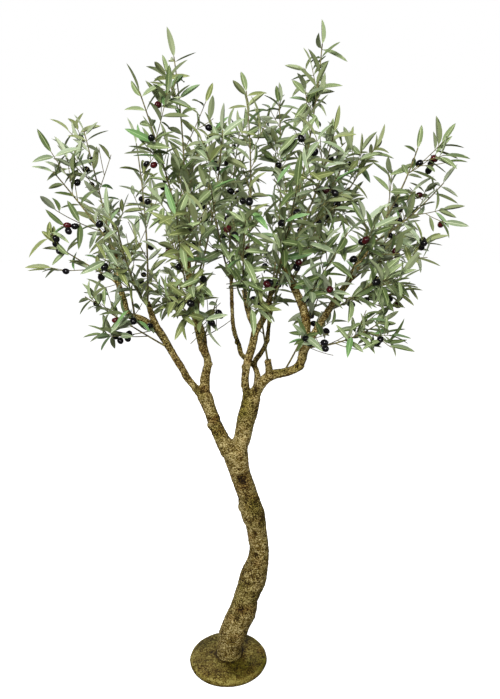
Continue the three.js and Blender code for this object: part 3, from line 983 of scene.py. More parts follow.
@dataclass
class Wood:
    """The trunk and limbs, under one continuous bark.

    Attributes:
        limbs: The trunk and limbs.
        ring_step: How far apart the rings lie that each is drawn out along.
        sides: How many corners a ring has.
        voxel: The size of the bark's faces.
        smoothing: How often the bark is smoothed where limbs meet.
        thick_height: The height below which the relief is full.
        relief_fade: The height over which the relief would fade to nothing above that.
        least_relief: The least relief, on the thin limbs.
        bark: The relief.
    """

    limbs: Sequence[Limb] = LIMBS
    ring_step: float = 12.0
    sides: int = 20
    voxel: float = 2.5
    smoothing: int = 5
    thick_height: float = 700.0
    relief_fade: float = 600.0
    least_relief: float = 0.55
    bark: Bark = field(default_factory=lambda: Bark(scars=(
        Scar((44, -28, 588), (16, 17), -6.5),
        Scar((44, -30, 610), (20, 5), 3.0),
        Scar((52, -30, 552), (8, 22), -3.5),
        Scar((79, -24, 423), (6, 7), -4.5),
        Scar((79, -24, 355), (9, 11), -5.0),
        Scar((74, -36, 317), (7, 7), -4.5),
        Scar((70, -36, 405), (8, 12), -2.0),
        Scar((45, -38, 225), (9, 12), -2.5),
        Scar((36, -39, 196), (10, 11), -3.5),
        Scar((27, -40, 166), (11, 13), -3.0),
        Scar((18, -40, 104), (9, 16), -2.5),
        Scar((38, 0, 494), (9, 12), 3.5),
        Scar((-50, 4, 735), (6, 10), 4.5),
        Scar((-65, -8, 836), (9, 9), -4.5),
        Scar((-67, -8, 818), (14, 6), 2.5),
        Scar((-40, 24, 908), (6, 7), 5.5),
        Scar((-74, 18, 866), (6, 11), 3.0),
        Scar((-78, 30, 949), (6, 8), 3.5),
        Scar((45, -22, 911), (5, 7), 4.5),
        Scar((41, -12, 856), (5, 9), 3.5),
        Scar((24, 26, 968), (6, 6), 6.0),
        Scar((88, -22, 866), (11, 12), 3.0),
        Scar((80, -26, 838), (7, 12), -3.5),
        Scar((122, -34, 934), (6, 5), 4.5),
        Scar((189, -38, 914), (7, 6), -3.0),
        Scar((119, 52, 969), (6, 7), 4.0),
    )))

    def limb_shape(self, shape: bmesh.types.BMesh, limb: Limb) -> None:
        """Adds one limb to a bmesh: a disc drawn out from ring to ring along the limb.

        Args:
            shape: The bmesh.
            limb: The limb.
        """
        axis = limb.axis(self.ring_step)
        frames = self._ring_frames(axis)
        disc = bmesh.ops.create_circle(shape, cap_ends=True, segments=self.sides, radius=1, matrix=frames[0])
        end = disc["verts"][0].link_faces[0]
        for before, after in zip(frames, frames[1:]):
            drawn = bmesh.ops.extrude_face_region(shape, geom=[end])["geom"]
            end = next(part for part in drawn if isinstance(part, bmesh.types.BMFace))
            step = after @ before.inverted()
            bmesh.ops.transform(shape, matrix=step, verts=end.verts[:])

    @staticmethod
    def _ring_frames(axis: Axis) -> list[Matrix]:
        """Lays rings along an axis, without twist from one to the next.

        Args:
            axis: The axis.

        Returns:
            The place, turn and size of each ring.
        """
        frames = []
        side = Vector(square_to(axis.heading(0), 0))
        for i, (place, radius) in enumerate(zip(axis.places, axis.radii)):
            span = axis.places[min(i + 1, len(axis.places) - 1)] - axis.places[max(i - 1, 0)]
            along = Vector(unit(span))
            side = (side - along * side.dot(along)).normalized()
            lift = along.cross(side)
            turn = Matrix((side, lift, along)).transposed().to_4x4()
            frames.append(Matrix.Translation(Vector(place) * MM) @ turn @ Matrix.Scale(radius * MM, 4))
        return frames

    def build(self) -> bpy.types.Object:
        """Builds the bark: one skin round all the limbs, with its relief.

        Returns:
            The piece.
        """
        shape = bmesh.new()
        for limb in self.limbs:
            self.limb_shape(shape, limb)
        bmesh.ops.recalc_face_normals(shape, faces=shape.faces[:])
        skin = remeshed(shape, self.voxel * MM, self.smoothing)
        self.bark.work(skin, self._fade)
        skin.shade_smooth()
        skin.materials.append(CoatedBark("bark_coating").material())
        return new_piece("bark", skin, [limb.name for limb in self.limbs])

    def _fade(self, spot: Vector, _normal: Vector) -> float:
        """Full relief on the trunk, and less on the thin limbs."""
        above = max(0.0, spot.z - self.thick_height)
        return max(self.least_relief, 1.0 - above / self.relief_fade)


@dataclass
class BaseDisc:
    """The domed disc that the trunk stands on.

    Attributes:
        radius: Its radius.
        rim_height: The height of its rim.
        rim_rounding: How far the rim's edges are rounded off.
        shoulder: The radius and the height at which the dome begins.
        height: The height of the dome's middle.
        steps: How many steps its outline is spun in.
        voxel: The size of its faces.
        smoothing: How often its skin is smoothed.
        foot_shade: How much darker the coating is painted round the trunk's foot: painted shade where the
            foot meets the disc.
        shade_reach: How far from the foot that painted shade goes.
        rim_highlight: How much lighter the rim's rounded upper edge is painted: a painted highlight where
            the rounding catches the light.
        highlight_reach: How far from the edge that painted highlight goes.
        underside: How far a face must turn down to be left plain.
        bark: The relief.
        coating: The finish.
    """

    radius: float = 116.0
    rim_height: float = 18.0
    rim_rounding: float = 4.0
    shoulder: tuple[float, float] = (94.0, 23.0)
    height: float = 27.0
    steps: int = 96
    voxel: float = 2.4
    smoothing: int = 4
    foot_shade: float = 1.0
    shade_reach: float = 9.0
    rim_highlight: float = 0.8
    highlight_reach: float = 6.0
    underside: float = -0.3
    bark: Bark = field(default_factory=lambda: Bark(lump_height=0.9, crumb_height=0.6, wrinkle_height=0.2))
    # The disc's crest colour is partly a painted highlight, on its crests and along the rim's upper edge.
    coating: CoatedBark = CoatedBark(
        "disc_coating", flank=srgb(72, 56, 10), ridge=srgb(103, 87, 28), crest=srgb(154, 142, 76),
        grain_depth=2.5,
    )

    def build(self) -> bpy.types.Object:
        """Builds the disc: its outline spun about the upright axis, with a soft rim.

        Returns:
            The piece.
        """
        edge = self.radius - self.rim_rounding
        outline = (
            (0, 0), (edge, 0), (self.radius, self.rim_height / 2),
            (edge, self.rim_height), self.shoulder, (0, self.height),
        )
        shape = bmesh.new()
        corners = [shape.verts.new((x * MM, 0, z * MM)) for x, z in outline]
        edges = [shape.edges.new(pair) for pair in zip(corners, corners[1:])]
        bmesh.ops.spin(
            shape, geom=corners + edges, axis=(0, 0, 1), cent=(0, 0, 0),
            angle=2 * math.pi, steps=self.steps, use_merge=True,
        )
        bmesh.ops.remove_doubles(shape, verts=shape.verts[:], dist=0.01 * MM)
        bmesh.ops.recalc_face_normals(shape, faces=shape.faces[:])
        skin = remeshed(shape, self.voxel * MM, self.smoothing)
        self.bark.work(skin, self._fade)
        self._paint_rim_highlight_and_foot_shade(skin)
        for vertex in skin.vertices:
            vertex.co.z = max(vertex.co.z, 0.0)
        skin.update()
        skin.shade_smooth()
        skin.materials.append(self.coating.material())
        return new_piece("disc", skin, ["base_disc"])

    def _paint_rim_highlight_and_foot_shade(self, skin: bpy.types.Mesh) -> None:
        """Paints a highlight along the rim's rounded upper edge, and paints shade round the trunk's foot.

        Args:
            skin: The disc's mesh, with its relief.
        """
        foot = LIMBS[0].route[0]
        for vertex, relief in zip(skin.vertices, skin.attributes[Bark.RELIEF].data):
            x, y, z = vertex.co / MM
            from_edge = math.hypot(math.hypot(x, y) - self.radius + self.rim_rounding, z - self.rim_height)
            from_foot = max(0.0, math.hypot(x - foot[0], y - foot[1]) - foot[3])
            # Painted highlight: the rim's rounded upper edge is lifted towards the crest colour.
            relief.value += self.rim_highlight * math.exp(-((from_edge / self.highlight_reach) ** 2))
            # Painted shade: the coating round the trunk's foot is pushed down towards the pit colour.
            relief.value -= self.foot_shade * math.exp(-((from_foot / self.shade_reach) ** 2))

    def _fade(self, _spot: Vector, normal: Vector) -> float:
        """No relief on the flat underside."""
        return 1.0 if normal.z > self.underside else 0.0


class Pile:
    """Many small closed shapes joined into one mesh."""

    def __init__(self) -> None:
        """Starts an empty pile."""
        self.vertices: list[np.ndarray] = []
        self.faces: list[tuple[int, ...]] = []
        self.finishes: list[int] = []
        self.count = 0

    def add(self, vertices: np.ndarray, faces: Iterable[tuple[int, ...]], finishes: Iterable[int]) -> None:
        """Adds one shape.

        Args:
            vertices: Its vertices in millimetres, one row each.
            faces: Its faces, as numbers of its own vertices.
            finishes: The number of each face's material.
        """
        start = self.count
        self.vertices.append(vertices)
        self.faces.extend(tuple(start + corner for corner in face) for face in faces)
        self.finishes.extend(finishes)
        self.count += len(vertices)

    def mesh(self, name: str, materials: Sequence[bpy.types.Material]) -> bpy.types.Mesh:
        """Joins the shapes.

        Args:
            name: The mesh's name.
            materials: The materials that the faces' numbers name.

        Returns:
            The mesh, smooth but for its sharp edges.
        """
        mesh = bpy.data.meshes.new(name)
        mesh.from_pydata(np.concatenate(self.vertices) * MM, [], self.faces)
        for material in materials:
            mesh.materials.append(material)
        mesh.polygons.foreach_set("material_index", self.finishes)
        mesh.shade_smooth()
        mesh.set_sharp_from_angle(angle=math.radians(SHARP_ANGLE))
        mesh.update()
        return mesh


@dataclass
class Leaf:
    """One leaf: a lance shape on a short stalk.

    Attributes:
        root: Where it leaves its twig.
        along: The direction in which it points.
        face: The direction that its upper side faces.
        length: Its length.
        tone: The number of its tone.
        curl: How far its tip bends away from its face, as a share of its length.
        sweep: How far its tip bends sideways, as a share of its length.
        fold: How far its edges rise towards its face, as a share of their distance.
    """

    # Its greatest width and where that lies, as shares of its length.
    WIDTH = 0.225
    WIDEST = 0.42
    # The room that it takes, and the places along it that are kept clear of other things.
    THICKNESS = 1.6
    MIDRIB_SHARES = (0.3, 0.53, 0.76, 1.0)
    # Its width, as a share of the greatest, at shares of its length.
    OUTLINE = ((0.0, 0.08), (0.07, 0.14), (0.17, 0.6), (0.32, 0.93), (0.5, 1.0), (0.7, 0.86), (0.88, 0.48))
    # The midrib's half width, the most of the blade's half width that it may take, and how far
    # the underside's keel lies below it.
    RIB_WIDTH = 0.7
    RIB_SHARE = 0.5
    RIB_DEPTH = 0.8

    root: np.ndarray
    along: np.ndarray
    face: np.ndarray
    length: float
    tone: int
    curl: float
    sweep: float
    fold: float

    @property
    def across(self) -> np.ndarray:
        """The direction from its left edge to its right."""
        return cross(self.along, self.face)

    def edges_and_tip(self) -> np.ndarray:
        """Its furthest places.

        Returns:
            Its left edge, its right edge and its tip, one row each.
        """
        widest = self._middle(self.WIDEST)
        half = self.across * (0.5 * self.WIDTH * self.length)
        return np.array([widest - half, widest + half, self._middle(1.0)])

    def midrib(self) -> np.ndarray:
        """Places along its middle, past its root."""
        return np.array([self._middle(share) for share in self.MIDRIB_SHARES])

    def add_to(self, pile: Pile) -> None:
        """Adds its blade, midrib and underside to a pile, as one closed shape.

        Args:
            pile: The pile.
        """
        across, half = self.across, 0.5 * self.WIDTH * self.length
        rows = []
        for share, width in self.OUTLINE:
            middle = self._middle(share)
            edge = across * (half * width)
            rise = self.face * (half * width * self.fold)
            rib = across * min(self.RIB_WIDTH, self.RIB_SHARE * half * width)
            rows += [middle - edge + rise, middle - rib, middle + rib, middle + edge + rise]
            rows.append(middle - self.face * self.RIB_DEPTH)
        rows.append(self._middle(1.0))
        faces, parts = leaf_faces(len(self.OUTLINE))
        first = len(LeafPart) * self.tone
        pile.add(np.array(rows), faces, [first + part.value for part in parts])

    def _middle(self, share: float) -> np.ndarray:
        """A place along its bent middle.

        Args:
            share: How far along the leaf it lies, from 0 to 1.

        Returns:
            The place.
        """
        bend = self.length * share**2
        straight = self.root + self.along * (self.length * share)
        return straight - self.face * (self.curl * bend) + self.across * (self.sweep * bend)


def leaf_faces(rows: int) -> tuple[list[tuple[int, ...]], list[LeafPart]]:
    """The faces of a leaf, whose vertices are rows across it and one at its tip.

    Args:
        rows: The number of rows.

    Returns:
        The faces, and the part of the leaf that each belongs to.
    """
    wide = 5
    left, rib_left, rib_right, right, below = range(wide)
    strips = (
        (left, rib_left, LeafPart.BLADE), (rib_left, rib_right, LeafPart.MIDRIB),
        (rib_right, right, LeafPart.BLADE), (right, below, LeafPart.UNDERSIDE),
        (below, left, LeafPart.UNDERSIDE),
    )
    faces, parts = [(left, below, right, rib_right, rib_left)], [LeafPart.UNDERSIDE]
    tip = wide * rows
    for a, b, part in strips:
        for row in range(rows - 1):
            low, high = wide * row, wide * (row + 1)
            faces.append((low + a, low + b, high + b, high + a))
            parts.append(part)
        faces.append((tip - wide + a, tip - wide + b, tip))
        parts.append(part)
    return faces, parts


@dataclass
class Olive:
    """One olive on its stalk.

    Attributes:
        root: Where its stalk leaves the twig.
        centre: The middle of the fruit.
        skin: The number of its skin.
    """

    # The sizes of the fruit and its stalk, and how finely they are made.
    LENGTH = 20.5
    WIDTH = 17.0
    STALK = 15.0
    STALK_RADIUS = 1.0
    STALK_SIDES = 4
    RINGS = 7
    SIDES = 12
    # How far its two ends lie from its middle, as shares of its length.
    TOP_SHARE = 0.46
    TIP_SHARE = 0.53

    root: np.ndarray
    centre: np.ndarray
    skin: int

    def add_to(self, pile: Pile) -> None:
        """Adds its fruit to a pile: rings from the stalk's end to a slightly pointed tip.

        Args:
            pile: The pile.
        """
        down = unit(self.centre - self.root)
        side = square_to(down, 0)
        lift = cross(down, side)
        turns = np.linspace(0, 2 * math.pi, self.SIDES, endpoint=False)
        circle = np.outer(np.cos(turns), side) + np.outer(np.sin(turns), lift)
        rows = [self.centre - down * (self.TOP_SHARE * self.LENGTH)]
        for ring in range(1, self.RINGS + 1):
            angle = math.pi * ring / (self.RINGS + 1)
            middle = self.centre - down * (0.5 * self.LENGTH * math.cos(angle))
            rows.extend(middle + circle * (0.5 * self.WIDTH * math.sin(angle)))
        rows.append(self.centre + down * (self.TIP_SHARE * self.LENGTH))
        faces = ring_faces(self.SIDES, self.RINGS)
        pile.add(np.array(rows), faces, [self.skin] * len(faces))

    def stalk(self) -> Axis:
        """The axis of its stalk."""
        return Axis(np.array([self.root, self.centre]), np.full(2, self.STALK_RADIUS))


def ring_faces(sides: int, rings: int) -> list[tuple[int, ...]]:
    """The faces of a closed shape: a first point, rings of vertices and a last point.

    Args:
        sides: The vertices in a ring.
        rings: The number of rings.

    Returns:
        The faces, which point outwards where the rings turn with the right hand.
    """
    last = sides * rings + 1
    faces: list[tuple[int, ...]] = []
    for j in range(sides):
        k = (j + 1) % sides
        faces.append((0, 1 + k, 1 + j))
        faces.append((last, last - sides + j, last - sides + k))
        for ring in range(rings - 1):
            low, high = 1 + ring * sides, 1 + (ring + 1) * sides
            faces.append((low + j, low + k, high + k, high + j))
    return faces


def add_tube(pile: Pile, axis: Axis, sides: int) -> None:
    """Adds a closed, pointed tube to a pile.

    Args:
        pile: The pile.
        axis: The axis that the tube follows.
        sides: How many corners its rings have.
    """
    turns = np.linspace(0, 2 * math.pi, sides, endpoint=False)
    side = square_to(axis.heading(0), 0)
    rows = [axis.places[0]]
    count = len(axis.places)
    for i, (place, radius) in enumerate(zip(axis.places, axis.radii)):
        along = unit(axis.places[min(i + 1, count - 1)] - axis.places[max(i - 1, 0)])
        side = unit(side - along * side.dot(along))
        circle = np.outer(np.cos(turns), side) + np.outer(np.sin(turns), cross(along, side))
        rows.extend(place + circle * radius)
    rows.append(axis.places[-1] + along * axis.radii[-1])
    faces = ring_faces(sides, count)
    pile.add(np.array(rows), faces, [0] * len(faces))


@dataclass
class Spray:
    """One spray of foliage: a stem with its twigs, olives and leaves.

    Attributes:
        name: The name of its CAD node.
        seed: The number that all its chance comes from.
        fullness: How closely its leaves stand, next to the usual.
        reach: The lowest and highest corner of the room that it may grow in.
        stem: Its stem.
        axes: Its stem and twigs.
        olives: Its olives.
        leaves: Its leaves.
    """

    name: str
    seed: int
    fullness: float
    reach: np.ndarray
    stem: Axis
    axes: list[Axis]
    olives: list[Olive] = field(default_factory=list)
    leaves: list[Leaf] = field(default_factory=list)


class Stream(Enum):
    """The rows of chance that a spray draws on, as what is added to its seed."""

    STEM = 0
    MAIN_TWIGS = 100
    OLIVES = 200
    LEAVES = 300
    CLOSE_TWIGS = 400
    FINE_TWIGS = 500


# How the sprays grow. Lengths are in millimetres and angles in degrees, pairs are the ends of a
# range, and shares are of the length of the stem or twig.


@dataclass(frozen=True)
class StemHabit:
    """How the stem of a spray grows.

    Attributes:
        radius: The radius of a stem where it leaves its limb.
        tip_radius: The radius at a stem's end.
        parts: How many legs a stem's axis has.
        sides: How many corners a stem's rings have.
        sag: How far a stem sags, as a share of its reach sideways.
        sway: How far a stem sways to one side, as a share of its reach.
        leaf_reach: How far the last leaf reaches past a stem's end.
        bare_share: The share of a stem that is bare of leaves.
    """

    radius: float = 3.0
    tip_radius: float = 1.5
    parts: int = 12
    sides: int = 6
    sag: float = 0.08
    sway: float = 0.05
    leaf_reach: float = 68.0
    bare_share: float = 0.13


@dataclass(frozen=True)
class TwigHabit:
    """How side twigs grow from a stem, and finer ones from them.

    Attributes:
        shares: Where along a stem the twigs leave.
        step: How far apart the twigs of a row leave.
        thinning: How much thinner a twig is than what it leaves.
        tip_radius: The radius at a twig's end.
        parts: How many legs a twig's axis has.
        sides: How many corners a twig's rings have.
        bow: How far a twig bows down, as a share of its length.
        length: The length of the main twigs.
        shortening: How twigs change in length from the foot of a stem to its end.
        angle: The angle at which twigs leave.
        lift: How strongly twigs turn upwards.
        retry_shortening: How much shorter a twig gets on each new try.
        close_row_start: How many steps past the first twig the second, closer row begins.
        close_row_length: The length of its twigs, next to the main ones.
        fine_share: Where a finer twig leaves its side twig.
        fine_length: The length of the finer twigs, next to the main ones.
        bare_length: The length of a twig that is bare of leaves.
    """

    shares: Range = (0.28, 0.88)
    step: float = 112.0
    thinning: float = 0.6
    tip_radius: float = 1.0
    parts: int = 4
    sides: int = 5
    bow: float = 0.03
    length: Range = (95.0, 165.0)
    shortening: Range = (1.1, 0.65)
    angle: Range = (32.0, 54.0)
    lift: float = 0.2
    retry_shortening: float = 0.12
    close_row_start: float = 0.5
    close_row_length: float = 0.85
    fine_share: float = 0.45
    fine_length: float = 0.5
    bare_length: float = 12.0


@dataclass(frozen=True)
class LeafHabit:
    """How leaves grow along stems and twigs, and at their ends.

    Attributes:
        length: The length of the leaves.
        step: How far apart the pairs of leaves leave.
        angle: The angle at which leaves leave.
        narrowings: The shares of a leaf's angle that are tried one after the other.
        lift: How strongly leaves turn upwards, or hang where it is negative.
        upturn: How strongly leaves' upper sides turn upwards.
        roll: How far leaves are turned about their own length, in radians.
        curl: How far leaves bend away from their upper side, as a share of their length.
        sweep: How far leaves bend sideways, as a share of their length.
        fold: How far the edges of leaves rise, as a share of their distance from the middle.
        next_tone_chance: The chance above which a leaf has the next spray's tone.
        fresh_chance: The chance above which it has the fresh tone.
        clearance: How clear of other leaves the middle of a leaf stays.
        twig_clearance: How clear of other twigs it stays.
        end_angle: The angle at which the last leaf leaves.
        end_depth: How far before the end the last leaf leaves.
        pair_depth: How far before the end the last pair leaves.
        pair_clearance: How far before the last pair the other pairs end.
    """

    length: Range = (50.0, 75.0)
    step: float = 36.0
    angle: Range = (40.0, 88.0)
    narrowings: tuple[float, ...] = (1.0, 0.7)
    lift: Range = (-0.45, 0.3)
    upturn: float = 0.5
    roll: Range = (-1.1, 1.1)
    curl: Range = (0.0, 0.32)
    sweep: Range = (-0.13, 0.13)
    fold: Range = (0.3, 0.8)
    next_tone_chance: float = 0.6
    fresh_chance: float = 0.95
    clearance: float = 7.0
    twig_clearance: float = 4.0
    end_angle: Range = (4.0, 14.0)
    end_depth: float = 3.0
    pair_depth: float = 12.0
    pair_clearance: float = 8.0


@dataclass(frozen=True)
class OliveHabit:
    """How olives hang from stems and twigs.

    Attributes:
        shares: Where along a stem or twig olives hang.
        hang: How steeply the stalks of olives fall or rise.
        tries: How many tries each olive has.
        most: The most olives on a spray.
        wine_share: The share of olives that are wine-red.
    """

    shares: Range = (0.35, 0.9)
    hang: Range = (-1.2, 0.3)
    tries: int = 6
    most: int = 4
    wine_share: float = 1 / 8


@dataclass
class Crown:
    """All the sprays, each grown by the same rule in its own share of the crown.

    Attributes:
        turns: How many sides a twig may leave on.
        face_turn: The turn from one side to the next, in radians.
        space_overlap: How far a spray may reach into its neighbours' spaces.
        reach_margin: How far a spray may grow past its solid's box.
        limb_margin: How clear of the limbs everything stays.
        arch_height: The height of the crown's arched underside at its middle.
        arch_fall: How steeply the underside falls to both sides.
        arch_drop: How far below its stem's end a low spray may still have leaves.
        stems: How stems grow.
        twigs: How twigs grow.
        leaves: How leaves grow.
        olives: How olives grow.
        sprays: The sprays.
    """

    turns: int = 3
    face_turn: float = 2 * math.pi / 3
    space_overlap: float = 20.0
    reach_margin: float = 5.0
    limb_margin: float = 2.0
    arch_height: float = 1090.0
    arch_fall: float = 0.35
    arch_drop: float = 60.0
    stems: StemHabit = StemHabit()
    twigs: TwigHabit = TwigHabit()
    leaves: LeafHabit = LeafHabit()
    olives: OliveHabit = OliveHabit()
    sprays: list[Spray] = field(default_factory=list)

    def __post_init__(self) -> None:
        """Lays out every stem, which share the crown between them."""
        axes = {limb.name: limb.axis(limb.ring_step) for limb in LIMBS}
        for seed, plan in enumerate(SPRAYS, start=1):
            start = axes[plan.limb].place(plan.at)
            stem = self._stem(start, np.array(plan.tip, float), SeededRandom(Stream.STEM.value + seed))
            reach = np.array(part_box(plan.name)) / MM + np.outer((-1, 1), np.full(3, self.reach_margin))
            self.sprays.append(Spray(plan.name, seed, plan.fullness, reach, stem, [stem]))
        self.stem_legs = Legs([spray.stem for spray in self.sprays])
        self.limb_legs = Legs(list(axes.values()))

    def _stem(self, start: np.ndarray, tip: np.ndarray, random: SeededRandom) -> Axis:
        """A stem that sags a little on its way and ends a leaf short of its spray's tip.

        Args:
            start: Where it leaves its limb.
            tip: Where its last leaf ends.
            random: The stem's chance.

        Returns:
            Its axis.
        """
        span = tip - start
        end = tip - unit(span) * self.stems.leaf_reach
        sway = square_to(unit(span), 2 * math.pi * random())
        reach = math.sqrt(span.dot(span))
        middle = (start + end) / 2 - UP * (self.stems.sag * math.hypot(span[0], span[1]))
        middle = middle + sway * (self.stems.sway * reach)
        shares = np.linspace(0, 1, self.stems.parts + 1)[:, None]
        places = start * (1 - shares) ** 2 + middle * 2 * shares * (1 - shares) + end * shares**2
        return Axis(places, np.linspace(self.stems.radius, self.stems.tip_radius, self.stems.parts + 1))

    def fits(self, spray: Spray, places: np.ndarray, half_width: float) -> bool:
        """Whether every place lies in or near a spray's own share of the crown, clear of the limbs.

        Args:
            spray: The spray.
            places: The places, one row each.
            half_width: Half the width of what lies there.

        Returns:
            Whether it fits.
        """
        if (places < spray.reach[0]).any() or (places > spray.reach[1]).any():
            return False
        gaps = self.stem_legs.distances(places)
        own = self.stem_legs.owners == spray.seed - 1
        nearest = gaps[:, own].min(axis=1) - self.space_overlap + half_width
        if (gaps[:, ~own].min(axis=1) <= nearest).any():
            return False
        skins = self.limb_legs.distances(places, to_skin=True)
        return bool((skins.min(axis=1) > half_width + self.limb_margin).all())

    def _first_turn(self, random: SeededRandom) -> float:
        """The turn of the first twig or leaf, picked by chance."""
        return self.face_turn * (0.5 + int(self.turns * random()))

    def _grow_twig(
        self, spray: Spray, parent: Axis, share: float, reach: float, angle: float, turn: float
    ) -> float:
        """Grows one twig, tried on each side of its parent until one has room.

        Args:
            spray: The spray that it belongs to.
            parent: The stem or twig that it leaves.
            share: Where it leaves, as a share of its parent's length.
            reach: Its length on the first try.
            angle: The angle at which it leaves.
            turn: The side that the last twig took.

        Returns:
            The side that this twig took.
        """
        heading, root = parent.heading(share), parent.place(share)
        for attempt in range(self.turns):
            turn += self.face_turn
            direction = unit(leaning(heading, angle, turn) + UP * self.twigs.lift)
            span = direction * (reach * (1 - self.twigs.retry_shortening * attempt))
            if self.fits(spray, np.array([root + span * 0.5, root + span]), self.stems.tip_radius):
                shares = np.linspace(0, 1, self.twigs.parts + 1)[:, None]
                bow = UP * (4 * self.twigs.bow * np.linalg.norm(span))
                places = root + span * shares - bow * shares * (1 - shares)
                radius = max(self.twigs.thinning * parent.radius(share), self.twigs.tip_radius)
                radii = np.linspace(radius, self.twigs.tip_radius, self.twigs.parts + 1)
                spray.axes.append(Axis(places, radii))
                break
        return turn

    def _grow_twigs(
        self, spray: Spray, random: SeededRandom, step: float, first: float, shortening: float
    ) -> None:
        """Grows a row of side twigs along a spray's stem.

        Args:
            spray: The spray.
            random: The row's own chance.
            step: How far apart its twigs leave the stem.
            first: Where the row starts, in steps past the bare part of the stem.
            shortening: The length of these twigs, as a share of the main ones.
        """
        length = spray.stem.length()
        turn = self._first_turn(random)
        along = self.twigs.shares[0] * length + first * step
        while along < self.twigs.shares[1] * length:
            share = along / length
            reach = within(self.twigs.length, random()) * within(self.twigs.shortening, share)
            angle = math.radians(within(self.twigs.angle, random()))
            turn = self._grow_twig(spray, spray.stem, share, reach * shortening, angle, turn)
            along += step

    def _grow_fine_twigs(self, spray: Spray, random: SeededRandom) -> None:
        """Grows a finer twig from each side twig.

        Args:
            spray: The spray.
            random: The finer twigs' chance.
        """
        for parent in spray.axes[1:]:
            reach = within(self.twigs.length, random()) * self.twigs.fine_length
            angle = math.radians(within(self.twigs.angle, random()))
            turn = self._first_turn(random)
            self._grow_twig(spray, parent, self.twigs.fine_share, reach, angle, turn)

    def _grow_olives(self, spray: Spray, random: SeededRandom) -> None:
        """Hangs a spray's olives from its stem and twigs, above the crown's underside.

        Args:
            spray: The spray.
            random: The olives' chance.
        """
        for _ in range(self.olives.tries * self.olives.most):
            if len(spray.olives) == self.olives.most:
                return
            axis = spray.axes[int(random() * len(spray.axes))]
            root = axis.place(within(self.olives.shares, random()))
            turn = 2 * math.pi * random()
            hang = unit(np.array([math.cos(turn), math.sin(turn), within(self.olives.hang, random())]))
            centre = root + hang * Olive.STALK
            above = root[2] > self._underside(spray, root[0])
            if above and self.fits(spray, centre[None], Olive.LENGTH / 2):
                skin = 1 if random() < self.olives.wine_share else 0
                spray.olives.append(Olive(root, centre, skin))

    def _has_room(self, spray: Spray, leaf: Leaf, twig_legs: Legs, own: int) -> bool:
        """Whether a leaf lies in its spray's space and passes its olives, twigs and leaves.

        Args:
            spray: The spray.
            leaf: The leaf.
            twig_legs: The legs of all the spray's stems and twigs.
            own: The number of the leaf's own twig.

        Returns:
            Whether it has room.
        """
        ends, midrib = leaf.edges_and_tip(), leaf.midrib()
        if spray.olives:
            centres = np.array([olive.centre for olive in spray.olives])
            places = np.concatenate([ends[:2], midrib])
            gaps = np.linalg.norm(places[:, None] - centres[None], axis=2)
            if gaps.min() <= Olive.LENGTH / 2 + Leaf.THICKNESS:
                return False
        if spray.leaves:
            taken = np.concatenate([other.midrib() for other in spray.leaves])
            squares = ((midrib[:, None] - taken[None]) ** 2).sum(axis=2)
            if squares.min() <= self.leaves.clearance**2:
                return False
        others = twig_legs.owners != own
        if others.any() and twig_legs.distances(midrib)[:, others].min() <= self.leaves.twig_clearance:
            return False
        return self.fits(spray, ends, Leaf.THICKNESS)

    def _grow_leaf(
        self, spray: Spray, twig_legs: Legs, own: int, share: float, angle: float, turn: float,
        random: SeededRandom,
    ) -> None:
        """Adds a leaf, held closer to its twig where the space is narrow, if any has room.

        Args:
            spray: The spray.
            twig_legs: The legs of all its stems and twigs.
            own: The number of the leaf's own twig.
            share: Where it leaves the twig, as a share of the twig's length.
            angle: The angle at which it leaves.
            turn: The side on which it leaves.
            random: The spray's chance.
        """
        axis = spray.axes[own]
        root, heading = axis.place(share), axis.heading(share)
        if root[2] < self._underside(spray, root[0]):
            return
        length = within(self.leaves.length, random())
        roll, lift = within(self.leaves.roll, random()), UP * within(self.leaves.lift, random())
        bends = [within(ends, random()) for ends in (self.leaves.curl, self.leaves.sweep, self.leaves.fold)]
        tone = self._tone(spray, random())
        for narrowing in self.leaves.narrowings:
            along = unit(leaning(heading, angle * narrowing, turn) + lift)
            upper = heading + UP * self.leaves.upturn
            upper = unit(upper - along * upper.dot(along))
            leaf = Leaf(root, along, turned(upper, along, roll), length, tone, *bends)
            if self._has_room(spray, leaf, twig_legs, own):
                spray.leaves.append(leaf)
                return

    def _underside(self, spray: Spray, across: float) -> float:
        """The height below which limbs and stems are bare: an arch, lower where a spray is low.

        Args:
            spray: The spray.
            across: How far from the middle of the crown a place lies.

        Returns:
            The height of the underside there.
        """
        arch = self.arch_height - self.arch_fall * abs(across)
        return min(arch, spray.stem.places[-1][2] - self.arch_drop)

    def _tone(self, spray: Spray, chance: float) -> int:
        """The tone of a leaf: mostly its spray's own, now and then the next, and rarely the fresh one.

        Args:
            spray: The spray.
            chance: A number from 0 to 1.

        Returns:
            The number of the tone.
        """
        fresh = len(LEAF_TONES) - 1
        if chance > self.leaves.fresh_chance:
            return fresh
        return (spray.seed + (1 if chance > self.leaves.next_tone_chance else 0)) % fresh

    def _grow_leaves(self, spray: Spray, random: SeededRandom) -> None:
        """Grows opposite pairs of leaves along the stem and twigs, and three leaves at each end.

        Args:
            spray: The spray.
            random: The leaves' chance.
        """
        legs = Legs(spray.axes)
        for own, axis in enumerate(spray.axes):
            length = axis.length()
            turn = self._first_turn(random)
            end_angle = math.radians(within(self.leaves.end_angle, random()))
            self._grow_leaf(spray, legs, own, 1 - self.leaves.end_depth / length, end_angle, turn, random)
            pair_share = 1 - self.leaves.pair_depth / length
            for side in (1, 2):
                angle = math.radians(within(self.leaves.angle, random()))
                self._grow_leaf(spray, legs, own, pair_share, angle, turn + side * self.face_turn, random)
            along = self.stems.bare_share * length if own == 0 else self.twigs.bare_length
            while along < length - self.leaves.pair_depth - self.leaves.pair_clearance:
                turn += self.face_turn
                for side_turn in (turn, turn + math.pi):
                    angle = math.radians(within(self.leaves.angle, random()))
                    self._grow_leaf(spray, legs, own, along / length, angle, side_turn, random)
                along += self.leaves.step / spray.fullness

